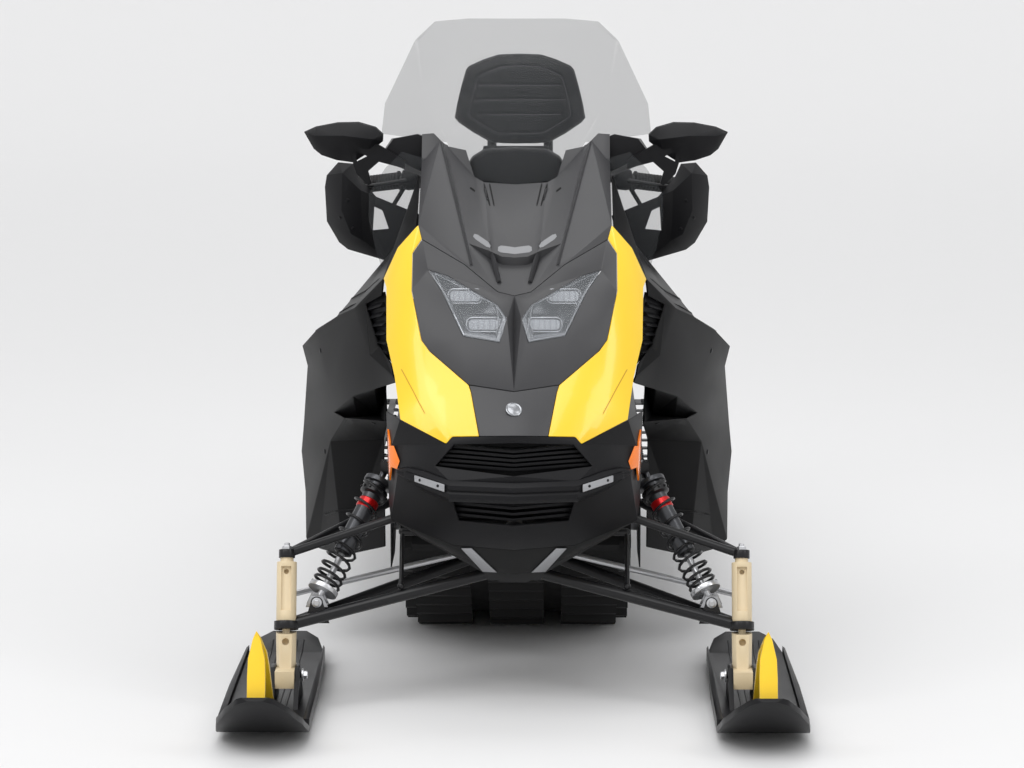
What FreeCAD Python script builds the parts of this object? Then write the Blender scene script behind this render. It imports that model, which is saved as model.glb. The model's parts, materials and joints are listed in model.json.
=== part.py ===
"""A two-up touring snowmobile with a wide track, modelled in millimetres.

Frame: +X is the rider's left, -Y the front, +Z up; the origin is on the ground,
in the middle of the length between the ski tips and the rear bumper.
"""
import FreeCAD
import Part
import Sketcher
import math
import os
import re
from types import SimpleNamespace

V = FreeCAD.Vector
doc = FreeCAD.newDocument("Snowmobile")

# Driving sizes, in millimetres; angles end in _angle and are in degrees
SIZES = {
    # Whole machine
    "front_reach": 1600, "seam": 0.8, "seat_gap": 0.3, "overrun": 20,
    # Track
    "track_width": 508, "lug_height": 32, "belt_thickness": 8, "lug_pitch": 76, "lug_base": 26,
    "lug_tip": 12, "track_window": 40, "track_middle": 124, "track_edge": 26, "edge_lug_height": 17,
    # Drive axle and rear idlers, places of their centres
    "drive_y": -545, "drive_z": 305, "drive_radius": 92, "approach_y": -140, "approach_radius": 300,
    "idler_y": 1130, "idler_radius": 95, "carrier_y": 330, "carrier_z": 338, "wheel_width": 26,
    "wheel_offset": 165, "axle_radius": 11, "drive_axle_radius": 17, "sprocket_width": 34,
    "driver_teeth": 9, "driver_tooth": 14, "sprocket_offset": 84, "bogie_radius": 60,
    "carrier_radius": 65, "rail_boss": 26,
    # Slide rails and skid suspension
    "rail_offset": 118, "rail_thickness": 14, "rail_height": 58, "rail_front_y": -330,
    "skid_tube_radius": 14, "front_arm_y": -300, "front_arm_z": 340, "front_arm_low_y": -60,
    "rear_arm_y": 460, "rear_arm_z": 340, "rear_arm_low_y": 740, "skid_arm_low_z": 92,
    "skid_shock_radius": 24,
    # Tunnel and running boards
    "tunnel_wall": 3, "tunnel_clearance": 17, "tunnel_front_y": -690, "tunnel_rear_y": 1430,
    "tunnel_front_top": 500, "tunnel_rear_top": 560, "tunnel_side_low": 322, "tunnel_rear_low": 420,
    "tunnel_nose_low": 230, "tunnel_nose_y": -500, "board_width": 158, "board_thickness": 22,
    "board_front_y": -285, "board_rear_y": 1180, "board_z": 338, "board_slot_length": 96,
    "board_slot_width": 26, "board_slot_pitch": 128,
    # Engine and front frame
    "engine_width": 400, "engine_front_y": -905, "engine_rear_y": -702, "engine_low": 372,
    "engine_top": 690, "column_slot": 84, "channel_inset": 49, "frame_front_y": -1018, "frame_low": 258,
    "frame_keel": 56, "frame_side_low": 365, "frame_top": 470, "frame_wall": 8, "bearing_radius": 24,
    "bearing_length": 26,
    # Front suspension, left side; mirrored to the right
    "ball_x": 477, "lower_ball_y": -1105, "lower_ball_z": 182, "upper_ball_y": -1060,
    "upper_ball_z": 326, "lower_arm_radius": 12.5, "lower_inner_x": 46, "lower_front_y": -1000,
    "lower_rear_y": -740, "lower_inner_z": 277, "upper_arm_radius": 9, "upper_inner_x": 232,
    "upper_front_y": -1000, "upper_rear_y": -722, "bushing_wall": 3, "upper_inner_z": 400,
    "ball_joint_radius": 17, "shock_low_x": 414, "shock_low_y": -1060, "shock_low_z": 226,
    "shock_top_x": 272, "shock_top_y": -900, "shock_top_z": 486, "shock_body_radius": 20,
    "shock_rod_radius": 7, "shock_eye_radius": 13, "shock_eye_width": 30, "ear_wall": 6,
    "spring_seat": 10, "spring_cap_drop": 24, "shock_rod_length": 120, "spring_radius": 29,
    "spring_wire": 3.4, "spring_turns": 9, "sway_y": -965, "sway_link_x": 238, "sway_bar_radius": 8,
    "sway_link_radius": 5,
    # Spindle and steering
    "spindle_radius": 21, "spindle_pin_radius": 8, "recess_depth": 9, "spindle_top_gap": 6,
    "foot_low": 62, "foot_width": 40, "foot_length": 92, "arm_thickness": 16, "steer_arm": 100,
    "tie_rod_z": 240, "tie_rod_radius": 6.5, "rod_end_radius": 13, "rod_end_thickness": 14,
    "pitman_z": 318, "pitman_offset": 16, "pitman_gap": 0.6, "column_angle": 43, "column_radius": 12.5,
    "bar_y": -230, "bar_z": 992, "bar_half_width": 392, "bar_radius": 11, "bar_rise": 55,
    "grip_radius": 17, "grip_length": 125, "bar_sweep": 75, "bar_bend": 40,
    # Skis
    "ski_x": 508, "ski_width": 188, "ski_thickness": 12, "ski_flat": 15, "ski_rear_y": -500,
    "ski_rear_rise": 22, "ski_flat_rear_y": -640, "ski_tip_z": 128, "ski_curl_run": 225,
    "ski_bolt_y": -1130, "ski_bolt_z": 82, "ski_bolt_radius": 7, "keel_width": 46, "wear_radius": 5,
    "keel_front_y": -1330, "keel_rear_y": -640, "saddle_wall": 10, "saddle_length": 190,
    "ski_rib_height": 16, "ski_rib_width": 12, "loop_width": 36, "loop_thickness": 10,
    "loop_set_back": 30, "loop_tuck": 8, "loop_top_run": 66, "loop_top_z": 256, "loop_rear_y": -1262,
    # Bodywork: the box that its shares are taken of
    "cowl_half_width": 300, "cowl_nose_y": -1245, "cowl_length": 1000, "cowl_height": 1000,
    "panel_wall": 4, "ridge_width": 10, "ridge_height": 5, "lamp_depth": 60, "lens_wall": 3,
    "lens_crown": 8, "module_length": 72, "module_height": 30, "module_corner": 12, "reflector_depth": 4,
    "slat_height": 9, "upper_slats": 5, "lower_slats": 3, "louvre_depth": 12, "louvre_count": 6,
    "slat_depth": 24, "grille_rear_share": 0.096, "bumper_depth": 34,
    # Windshield
    "shield_wall": 4, "shield_run": 280, "shield_set_back": 9, "shield_tuck": 2, "shield_rise": 350,
    # Console, seat and backrest
    "console_front_y": -540, "console_rear_y": -60, "console_half_width": 188, "console_top": 900,
    "console_shoulder": 60, "hood_set_back": 6, "hood_length": 130, "hood_half_width": 120,
    "hood_top": 1140, "seat_front_y": -60, "seat_rear_y": 780, "seat_half_width": 190,
    "seat_height": 240, "seat_shoulder": 50, "rear_seat_step": 70, "rear_seat_y": 380, "rest_y": 820,
    "rest_thickness": 70, "rest_half_width": 170, "rest_low": 1040, "rest_top": 1270,
    "rest_tube_radius": 12, "rest_tube_x": 72,
    # Rear pieces
    "rack_rear_y": 1400, "rack_half_width": 230, "rack_z": 690, "rack_tube_radius": 11,
    "rack_leg_inset": 60, "bumper_tube_radius": 14, "bumper_root": 160, "bumper_bend": 60,
    "bumper_half_width": 250, "bumper_z": 560, "rear_bumper_y": 1586, "flap_thickness": 6,
    "flap_low": 150, "flap_top": 466, "flap_rear": 1560, "hitch_radius": 8, "hitch_width": 60,
    "hitch_plate_width": 420, "hitch_gap": 26, "hitch_wall": 8, "hitch_length": 96, "hitch_z": 470,
    "tail_width": 220, "tail_height": 48, "tail_depth": 34, "tail_drop": 30,
    # Mirrors and handguards
    "mirror_depth": 62, "mirror_lip": 6, "bracket_depth": 16, "guard_reach": 438, "pod_length": 90,
    "guard_y": -235, "guard_depth": 52, "guard_wall": 5,
}

sheet = doc.addObject("Spreadsheet::Sheet", "Sizes")
for row, (alias, number) in enumerate(SIZES.items(), start=1):
    sheet.set("A%d" % row, alias)
    sheet.set("B%d" % row, str(number))
    sheet.setAlias("B%d" % row, alias)
doc.recompute()
S = SimpleNamespace(**{alias: float(sheet.get(alias)) for alias in SIZES})
PARTS = []


# Reading sums of size names
def formula(text):
    """The expression that binds a property to a sum such as "track_width/2 + seam"."""
    return re.sub(r"[a-z_]+[a-z_0-9]*", lambda word: "Sizes." + word.group(0), text)


def amount(text):
    """The value of such a sum, worked out from the sheet."""
    total = 0.0
    for sign, term in re.findall(r"([+-]?)([^+-]+)", text.replace(" ", "")):
        product = 1.0
        for mark, factor in re.findall(r"([*/]?)([^*/]+)", term):
            number = getattr(S, factor) if factor[0].isalpha() else float(factor)
            product = product / number if mark == "/" else product * number
        total += -product if sign == "-" else product
    return total


# Building helpers
def keep(item, label):
    """Label a finished sub-part, so that it is written out under that name."""
    item.Label = label
    PARTS.append(item)
    return item


def feature(label, shape):
    """A sub-part whose shape is made with Part's own functions."""
    item = doc.addObject("Part::Feature", label)
    item.Shape = shape
    return keep(item, label)


def origin_plane(body, role):
    return next(item for item in body.Origin.OriginFeatures if item.Role == role)


def outline(body, role, points):
    """A closed sketch through points given as pairs of sums, each bound to the sheet."""
    sketch = body.newObject("Sketcher::SketchObject", "Outline")
    sketch.AttachmentSupport = [(origin_plane(body, role), "")]
    sketch.MapMode = "FlatFace"
    spots = [V(amount(across), amount(up), 0) for across, up in points]
    count = len(spots)
    sketch.addGeometry([Part.LineSegment(spots[i], spots[(i + 1) % count]) for i in range(count)], False)
    for i in range(count):
        sketch.addConstraint(Sketcher.Constraint("Coincident", i, 2, (i + 1) % count, 1))
    for i, (across, up) in enumerate(points):
        for kind, text, number in (("DistanceX", across, spots[i].x), ("DistanceY", up, spots[i].y)):
            index = sketch.addConstraint(Sketcher.Constraint(kind, -1, 1, i, 1, number))
            sketch.setExpression("Constraints[%d]" % index, formula(text))
    return sketch


def pad(body, sketch, length, reversed_way=False, midplane=True):
    item = body.newObject("PartDesign::Pad", "Pad")
    item.Profile = sketch
    item.Midplane = midplane
    item.Reversed = reversed_way
    item.setExpression("Length", formula(length))
    doc.recompute()
    return item


def pocket(body, sketch, length):
    item = body.newObject("PartDesign::Pocket", "Pocket")
    item.Profile = sketch
    item.Midplane = True
    item.setExpression("Length", formula(length))
    doc.recompute()
    return item


def rod(start, end, radius):
    """A round bar between two points."""
    run = end - start
    return Part.makeCylinder(radius, run.Length, start, run)


def fused(shapes):
    """One clean shape from several that touch or overlap."""
    whole = shapes[0]
    if len(shapes) > 1:
        whole = whole.multiFuse(shapes[1:])
    return whole.removeSplitter()


def mirrored(shape):
    """The same shape on the other side of the centre plane."""
    return shape.mirror(V(0, 0, 0), V(1, 0, 0))


def both(shape):
    """A shape and its mirror image, as two solids of one sub-part."""
    return Part.makeCompound([shape, mirrored(shape)])


def rounded_path(points, radius):
    """A wire of straight runs joined by tangent arcs."""
    edges = []
    last = points[0]
    for before, corner, after in zip(points, points[1:], points[2:]):
        inward = (before - corner).normalize()
        onward = (after - corner).normalize()
        half = inward.getAngle(onward) / 2
        reach = min(radius / math.tan(half), 0.45 * (before - corner).Length, 0.45 * (after - corner).Length)
        start = corner + inward * reach
        end = corner + onward * reach
        bow = reach * math.tan(half)
        centre = corner + (inward + onward).normalize() * (reach / math.cos(half))
        middle = centre + (corner - centre).normalize() * bow
        edges.append(Part.LineSegment(last, start).toShape())
        edges.append(Part.Arc(start, middle, end).toShape())
        last = end
    edges.append(Part.LineSegment(last, points[-1]).toShape())
    return Part.Wire(edges)


def pipe(points, bend, radius):
    """A round tube, solid, along a path with rounded corners."""
    path = rounded_path(points, bend)
    ring = Part.Wire([Part.makeCircle(radius, points[0], points[1] - points[0])])
    return path.makePipeShell([ring], True, True)


def polygon_face(points):
    return Part.Face(Part.makePolygon(list(points) + [points[0]]))


def prism(points, sweep):
    """A prism from a flat outline and a sweep vector."""
    return polygon_face(points).extrude(sweep)


def block(low, high):
    """A box between two corners."""
    return Part.makeBox(high.x - low.x, high.y - low.y, high.z - low.z, low)


# Thin bodywork panels
class Shell:
    """Named corners and faces of bodywork; each panel becomes a closed solid of one wall."""

    def __init__(self, corners, panels, inside):
        self.points = dict(corners)
        self.inside = inside
        self.triangles = {name: self.split(faces) for name, faces in panels.items()}
        self.find_normals()

    def split(self, faces):
        """Faces as triangles, all turned the same way, away from the inside point."""
        waiting = []
        for face in faces:
            for second, third in zip(face[1:], face[2:]):
                waiting.append((face[0], second, third))
        found = [waiting.pop(0)]
        while waiting:
            edges = {(tri[i], tri[(i + 1) % 3]) for tri in found for i in range(3)}
            for triangle in waiting:
                sides = {(triangle[i], triangle[(i + 1) % 3]) for i in range(3)}
                backward = {side[::-1] for side in sides}
                if sides & edges or backward & edges:
                    break
            waiting.remove(triangle)
            found.append(triangle[::-1] if sides & edges else triangle)
        outward = 0.0
        for triangle in found:
            first, other, last = (self.points[name] for name in triangle)
            middle = (first + other + last) * (1 / len(triangle)) - self.inside
            outward += (other - first).cross(last - first).dot(middle)
        return found if outward > 0 else [triangle[::-1] for triangle in found]

    def normal(self, triangle):
        first, other, last = (self.points[name] for name in triangle)
        return (other - first).cross(last - first).normalize()

    def find_normals(self):
        """The direction, and stretch, in which each corner moves to keep the wall's thickness."""
        around = {}
        for triangles in self.triangles.values():
            for triangle in triangles:
                normal = self.normal(triangle)
                for name in triangle:
                    around.setdefault(name, []).append(normal)
        self.inward = {}
        for name, normals in around.items():
            mean = V(0, 0, 0)
            for normal in normals:
                mean = mean + normal
            mean.normalize()
            share = sum(max(mean.dot(normal), 0.0) for normal in normals) / len(normals)
            self.inward[name] = mean * (-1 / max(share, 0.6))

    def rim(self, triangles):
        """Edges of a panel that belong to one triangle only, with that triangle's normal."""
        owners = {}
        for triangle in triangles:
            for i in range(3):
                edge = (triangle[i], triangle[(i + 1) % 3])
                owners[edge] = self.normal(triangle)
        return {edge: normal for edge, normal in owners.items() if edge[::-1] not in owners}

    def room(self, panel, wall, seam, gap):
        """The space to keep free around a panel, a gap larger on every side."""
        return self.solid(panel, wall + 2 * gap, seam - 2 * gap, gap)

    def solid(self, panel, wall, seam, lift=0.0):
        """One panel as a closed solid, its rim drawn in by half a seam."""
        triangles = self.triangles[panel]
        rim = self.rim(triangles)
        shift = {}
        for (start, end), normal in rim.items():
            along = (self.points[end] - self.points[start]).normalize()
            inward = normal.cross(along)
            for name in (start, end):
                shift.setdefault(name, []).append(inward)
        outer = {}
        for triangle in triangles:
            for name in triangle:
                outer[name] = self.points[name]
        for name, moves in shift.items():
            total = moves[0]
            for move in moves[1:]:
                total = total + move
            scale = max(total.dot(moves[0]), 0.5)
            outer[name] = self.points[name] + total * (seam / 2 / scale)
        outer = {name: point - self.inward[name] * lift for name, point in outer.items()}
        inner = {name: point + self.inward[name] * wall for name, point in outer.items()}
        faces = []
        for triangle in triangles:
            faces.append([outer[name] for name in triangle])
            faces.append([inner[name] for name in reversed(triangle)])
        for start, end in rim:
            faces.append([outer[end], outer[start], inner[start]])
            faces.append([outer[end], inner[start], inner[end]])
        return closed_solid(faces)


def closed_solid(faces):
    shell = Part.makeShell([polygon_face(face) for face in faces])
    shell.sewShape()
    solid = Part.makeSolid(shell)
    if solid.Volume < 0:
        solid.reverse()
    return solid.removeSplitter()


def with_mirror(corners, panels):
    """Add the right-hand side of corners and faces given for the left-hand side."""
    points = dict(corners)
    names = {}
    for name, point in corners.items():
        names[name] = name if point.x == 0 else name + "_r"
        points[names[name]] = V(-point.x, point.y, point.z)
    full = {}
    for panel, faces in panels.items():
        other = [tuple(names[name] for name in face[:1] + face[:0:-1]) for face in faces]
        if panel.endswith("_left"):
            full[panel] = faces
            full[panel.replace("_left", "_right")] = other
        else:
            full[panel] = faces + [face for face in other if set(face) not in [set(f) for f in faces]]
    return points, full


def cowl_corner(shares):
    across, along, up = shares
    return V(across * S.cowl_half_width, S.cowl_nose_y + along * S.cowl_length, up * S.cowl_height)


# Bodywork corners, left side, as shares of the cowl's half width, length and height
COWL_SHARES = {
    "brow_mid": (0, 0.255, 0.864), "brow_in": (0.117, 0.26, 0.872), "brow_rib": (0.35, 0.3, 0.925),
    "brow_out": (0.657, 0.365, 0.972), "hood_side_top": (0.72, 0.325, 0.947),
    "hood_side": (0.72, 0.255, 0.874), "hood_side_low": (0.647, 0.195, 0.778),
    "hood_low": (0.59, 0.183, 0.756), "badge_out": (0.313, 0.125, 0.693),
    "badge_mid": (0, 0.11, 0.681),
    "lamp_in_low": (0.1, 0.16, 0.777), "lamp_in": (0.05, 0.185, 0.824), "lamp_in_top": (0.115, 0.21, 0.85),
    "lamp_top": (0.47, 0.292, 0.902), "lamp_tip": (0.61, 0.315, 0.912), "lamp_out": (0.503, 0.25, 0.872),
    "lamp_low": (0.353, 0.175, 0.788),
    "cowl_side": (0.687, 0.395, 1.0), "cowl_shoulder": (0.687, 0.645, 1.111),
    "cowl_back": (0.687, 0.675, 1.172), "ear_top": (0.6, 0.675, 1.174), "rib_top": (0.55, 0.672, 1.159),
    "cowl_top": (0.5, 0.67, 1.146), "dash_edge": (0.364, 0.66, 1.138), "dish_back": (0.3, 0.64, 1.081),
    "dish_in": (0.228, 0.62, 1.071), "dish_mid": (0, 0.6, 1.068),
    "step_mid": (0, 0.352, 0.934), "step_in": (0.091, 0.353, 0.936), "step_out": (0.183, 0.36, 0.948),
    "step_side": (0.328, 0.372, 0.962), "fall_mid": (0, 0.358, 0.916), "fall_in": (0.091, 0.359, 0.918),
    "fall_out": (0.183, 0.367, 0.93), "rib_low": (0.3, 0.3, 0.917),
    "accent_top": (0.83, 0.36, 0.955),
    "accent_out_top": (0.933, 0.36, 0.888), "accent_out_a": (0.91, 0.335, 0.872),
    "accent_out_b": (0.9, 0.25, 0.77), "accent_out_c": (0.837, 0.2, 0.7),
    "accent_out_d": (0.79, 0.13, 0.619), "accent_low": (0.467, 0.06, 0.579),
    "accent_low_in": (0.423, 0.06, 0.594), "accent_in_low": (0.237, 0.045, 0.597),
    "accent_in": (0.297, 0.115, 0.68), "accent_fold": (0.64, 0.13, 0.66),
    "badge_low": (0, 0.03, 0.6),
    "grille_top": (0.41, 0.05, 0.579), "grille_top_mid": (0, 0.034, 0.584),
    "grille_low": (0.54, 0.06, 0.533), "grille_low_mid": (0, 0.012, 0.52),
    "nose_side": (0.85, 0.17, 0.56), "nose_cheek": (0.81, 0.145, 0.5), "nose_tip": (0.44, 0.035, 0.505),
    "mouth_top": (0.42, 0.04, 0.462), "mouth_top_mid": (0, 0.012, 0.462), "mouth_low": (0.38, 0.06, 0.418),
    "mouth_low_mid": (0, 0.03, 0.412), "chin_side": (0.86, 0.165, 0.402), "chin": (0.42, 0.1, 0.36),
    "chin_mid": (0, 0.095, 0.35), "nose_back": (0.9, 0.25, 0.62), "nose_back_low": (0.88, 0.22, 0.43),
    "belly_side": (0.45, 0.18, 0.33), "belly_tip": (0.12, 0.19, 0.285), "belly_mid": (0, 0.185, 0.283),
}
COWL_PANELS = {
    "upper_cowl": [
        ("cowl_side", "cowl_shoulder", "rib_top", "rib_low", "brow_rib", "brow_out"),
        ("cowl_shoulder", "cowl_back", "ear_top", "rib_top"),
        ("rib_top", "cowl_top", "step_side", "rib_low"), ("cowl_top", "dash_edge", "dish_back", "step_side"),
        ("dish_back", "dish_in", "step_out", "step_side"), ("dish_in", "dish_mid", "step_mid", "step_in"),
        ("dish_in", "step_in", "step_out"),
        ("step_side", "step_out", "fall_out"), ("step_out", "step_in", "fall_in", "fall_out"),
        ("step_in", "step_mid", "fall_mid", "fall_in"),
        ("step_side", "fall_out", "brow_in", "rib_low"), ("rib_low", "brow_in", "brow_rib"),
        ("fall_out", "fall_in", "brow_in"), ("fall_in", "fall_mid", "brow_mid", "brow_in"),
    ],
    "lower_hood": [
        ("brow_mid", "brow_in", "lamp_in_top"), ("brow_mid", "lamp_in_top", "lamp_in"),
        ("brow_in", "brow_rib", "lamp_top"), ("brow_in", "lamp_top", "lamp_in_top"),
        ("brow_rib", "brow_out", "lamp_tip"), ("brow_rib", "lamp_tip", "lamp_top"),
        ("brow_out", "hood_side_top", "lamp_tip"), ("hood_side_top", "hood_side", "lamp_tip"),
        ("hood_side", "lamp_out", "lamp_tip"), ("hood_side", "hood_side_low", "lamp_out"),
        ("hood_side_low", "hood_low", "lamp_low"), ("hood_side_low", "lamp_low", "lamp_out"),
        ("hood_low", "badge_out", "lamp_low"), ("badge_out", "lamp_in_low", "lamp_low"),
        ("badge_out", "badge_mid", "lamp_in_low"), ("badge_mid", "brow_mid", "lamp_in"),
        ("badge_mid", "lamp_in", "lamp_in_low"),
    ],
    "nose_panel": [
        ("badge_mid", "badge_out", "accent_in"), ("badge_mid", "accent_in", "accent_in_low"),
        ("badge_mid", "accent_in_low", "badge_low"),
    ],
    "accent_panel_left": [
        ("cowl_side", "accent_top", "hood_side_top", "brow_out"),
        ("accent_top", "accent_out_top", "accent_out_a"), ("accent_top", "accent_out_a", "hood_side_top"),
        ("hood_side_top", "accent_out_a", "hood_side"), ("accent_out_a", "accent_out_b", "hood_side"),
        ("hood_side", "accent_out_b", "hood_side_low"), ("accent_out_b", "accent_out_c", "hood_side_low"),
        ("hood_side_low", "accent_out_c", "hood_low"), ("hood_low", "accent_out_c", "accent_fold"),
        ("accent_out_c", "accent_out_d", "accent_fold"), ("accent_fold", "accent_out_d", "accent_low"),
        ("hood_low", "accent_fold", "badge_out"), ("badge_out", "accent_fold", "accent_in"),
        ("accent_in", "accent_fold", "accent_low_in"), ("accent_fold", "accent_low", "accent_low_in"),
        ("accent_in", "accent_low_in", "accent_in_low"),
    ],
    "nose_cowl": [
        ("accent_in_low", "accent_low_in", "grille_top", "grille_top_mid", "badge_low"),
        ("accent_low_in", "accent_low", "grille_top"),
        ("accent_low", "accent_out_d", "nose_side"), ("accent_low", "nose_side", "grille_low"),
        ("accent_low", "grille_low", "grille_top"), ("nose_side", "nose_cheek", "grille_low"),
        ("nose_cheek", "nose_tip", "grille_low"), ("grille_low", "nose_tip", "grille_low_mid"),
        ("nose_tip", "mouth_top", "mouth_top_mid", "grille_low_mid"),
        ("nose_cheek", "mouth_top", "nose_tip"), ("nose_cheek", "chin_side", "mouth_top"),
        ("chin_side", "mouth_low", "mouth_top"), ("chin_side", "chin", "mouth_low"),
        ("chin", "chin_mid", "mouth_low_mid", "mouth_low"),
        ("accent_out_d", "nose_back", "nose_side"), ("nose_side", "nose_back", "nose_back_low", "nose_cheek"),
        ("nose_cheek", "nose_back_low", "chin_side"),
    ],
    "belly_pan": [
        ("chin_side", "belly_side", "chin"), ("chin", "belly_side", "belly_tip"),
        ("chin", "belly_tip", "belly_mid", "chin_mid"),
    ],
}


# Ridges on the upper cowl: the two ends of each line, as shares
COWL_RIDGE_SHARES = (
    ((0.55, 0.672, 1.159), (0.3, 0.3, 0.917)), ((0.184, 0.4, 0.967), (0.102, 0.28, 0.884)),
    ((0.228, 0.6, 1.062), (0.2, 0.545, 1.032)),
)


def bevelled_bar(start, end, lift, width, height):
    """A low bar with a triangular section along a line, half sunk into the face that carries it."""
    along = (end - start).normalize()
    across = along.cross(lift).normalize() * (width / 2)
    crest = across.cross(along).normalize() * height
    return prism([start - across - crest / 2, start + across - crest / 2, start + crest], end - start)


def make_cowl():
    """The front bodywork, from the upper cowl down to the belly pan."""
    corners = {name: cowl_corner(shares) for name, shares in COWL_SHARES.items()}
    points, panels = with_mirror(corners, COWL_PANELS)
    inside = V(0, S.cowl_nose_y + S.cowl_length / 2, S.cowl_height / 2)
    shell = Shell(points, panels, inside)
    for panel in panels:
        shape = shell.solid(panel, S.panel_wall, S.seam)
        if panel == "upper_cowl":
            for start, end in COWL_RIDGE_SHARES:
                head, foot = cowl_corner(start), cowl_corner(end)
                trim = (foot - head).normalize() * S.ridge_width
                bar = bevelled_bar(head + trim, foot - trim, V(0, -1, 1), S.ridge_width, S.ridge_height)
                shape = shape.fuse([bar, mirrored(bar)])
        feature(panel, shape)
    return shell


# Track
def belt_circles():
    """Centre, in (y, z), and radius of what the belt's pitch line runs round."""
    pitch_line = S.lug_height + S.belt_thickness / 2
    return [
        ((S.drive_y, S.drive_z), S.drive_radius),
        ((S.approach_y, pitch_line + S.approach_radius), S.approach_radius),
        ((S.idler_y, pitch_line + S.idler_radius), S.idler_radius),
        ((S.carrier_y, S.carrier_z), S.carrier_radius + S.seat_gap + S.belt_thickness / 2),
    ]


def belt_spans():
    """Tangent lines from each circle to the next: start, end and direction angle."""
    circles = belt_circles()
    spans = []
    for (start, first), (end, other) in zip(circles, circles[1:] + circles[:1]):
        across = (end[0] - start[0], end[1] - start[1])
        length = math.hypot(*across)
        angle = math.atan2(across[1], across[0]) - math.asin((other - first) / length)
        normal = (-math.sin(angle), math.cos(angle))
        leave = (start[0] - normal[0] * first, start[1] - normal[1] * first)
        arrive = (end[0] - normal[0] * other, end[1] - normal[1] * other)
        spans.append((leave, arrive, angle))
    return spans


def belt_path():
    """The pitch line as stretches, lines and arcs in turn, with their lengths."""
    circles = belt_circles()
    spans = belt_spans()
    stretches = []
    for index, (leave, arrive, angle) in enumerate(spans):
        stretches.append(("line", leave, angle, math.dist(leave, arrive)))
        centre, radius = circles[(index + 1) % len(circles)]
        turn = (spans[(index + 1) % len(spans)][2] - angle) % math.tau
        stretches.append(("arc", centre, angle, radius * turn, radius))
    return stretches


def belt_point(distance, height):
    """A point at a distance along the pitch line and a height outward of it."""
    for stretch in belt_path():
        length = stretch[3]
        if distance <= length:
            break
        distance -= length
    angle = stretch[2]
    if stretch[0] == "line":
        y = stretch[1][0] + math.cos(angle) * distance
        z = stretch[1][1] + math.sin(angle) * distance
        return V(0, y + math.sin(angle) * height, z - math.cos(angle) * height)
    radius = stretch[4]
    angle += distance / radius
    reach = radius + height
    return V(0, stretch[1][0] + math.sin(angle) * reach, stretch[1][1] - math.cos(angle) * reach)


def belt_loop(height):
    """The belt's line as a closed wire at a height outward of the pitch line."""
    edges = []
    start_distance = 0
    for stretch in belt_path():
        length = stretch[3]
        start = belt_point(start_distance + 1e-6, height)
        middle = belt_point(start_distance + length / 2, height)
        end = belt_point(start_distance + length - 1e-6, height)
        if stretch[0] == "line":
            edges.append([start, end])
        else:
            edges.append([start, middle, end])
        start_distance += length
    count = len(edges)
    for i in range(count):
        join = (edges[i][-1] + edges[(i + 1) % count][0]) * 0.5
        edges[i][-1] = join
        edges[(i + 1) % count][0] = join
    shapes = [
        Part.LineSegment(*spots).toShape() if len(spots) == 2 else Part.Arc(*spots).toShape()
        for spots in edges
    ]
    return Part.Wire(shapes)


def lug_outline(height, phase):
    """The belt's outer outline with lugs of a height, shifted along by a share of the pitch."""
    length = sum(stretch[3] for stretch in belt_path())
    count = round(length / S.lug_pitch)
    pitch = length / count
    skin = S.belt_thickness / 2
    spots = []
    for i in range(count):
        middle = (i + phase) * pitch
        for offset, lift in (
            (-S.lug_base / 2, skin), (-S.lug_tip / 2, skin + height),
            (S.lug_tip / 2, skin + height), (S.lug_base / 2, skin), (pitch / 2, skin),
        ):
            spots.append(belt_point((middle + offset) % length, lift))
    return Part.makePolygon(spots + [spots[0]])


def track_band(outer, low_x, high_x):
    """One band of the belt across a stretch of its width."""
    inner = belt_loop(-S.belt_thickness / 2)
    band = Part.Face(outer).cut(Part.Face(inner)).extrude(V(high_x - low_x, 0, 0))
    band.translate(V(low_x, 0, 0))
    return band


def make_track():
    half = S.track_width / 2
    middle = S.track_middle / 2
    window = middle + S.track_window
    edge = half - S.track_edge
    full = lug_outline(S.lug_height, 0)
    stagger = lug_outline(S.lug_height, 1 / 2)
    low = lug_outline(S.edge_lug_height, 0)
    plain = belt_loop(S.belt_thickness / 2)
    bands = [
        track_band(stagger, -middle, middle),
        track_band(plain, middle, window), track_band(plain, -window, -middle),
        track_band(full, window, edge), track_band(full, -edge, -window),
        track_band(low, edge, half), track_band(low, -half, -edge),
    ]
    feature("track", fused(bands))


# Wheels and axles under the tunnel
def wheel(centre_x, y, z, radius, width, bore):
    """A wheel across the machine with a dished web and a rubber rim."""
    half = width / 2
    rim = radius * 0.8
    hub = bore * 2.2
    web = half * 0.4
    profile = [
        V(bore, -half, 0), V(hub, -half, 0), V(hub, -web, 0), V(rim, -web, 0), V(rim, -half, 0),
        V(radius, -half, 0), V(radius, half, 0), V(rim, half, 0), V(rim, web, 0), V(hub, web, 0),
        V(hub, half, 0), V(bore, half, 0),
    ]
    disc = polygon_face(profile).revolve(V(0, 0, 0), V(0, 1, 0), 360)
    disc.rotate(V(0, 0, 0), V(0, 0, 1), -90)
    disc.translate(V(centre_x, y, z))
    return disc


def ground_wheel_z(radius):
    return S.lug_height + S.belt_thickness + radius + S.seat_gap


def wheel_places():
    """Y, Z and radius of each wheel axle that runs on the belt's inner side."""
    rear = S.idler_radius - S.belt_thickness / 2 - S.seat_gap
    places = [
        (S.idler_y, S.lug_height + S.belt_thickness / 2 + S.idler_radius, rear),
        (S.carrier_y, S.carrier_z, S.carrier_radius),
    ]
    for share in BOGIE_SHARES:
        y = S.approach_y + share * (S.idler_y - S.approach_y)
        places.append((y, ground_wheel_z(S.bogie_radius), S.bogie_radius))
    return places


BOGIE_SHARES = (0.3, 0.56)


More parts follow.
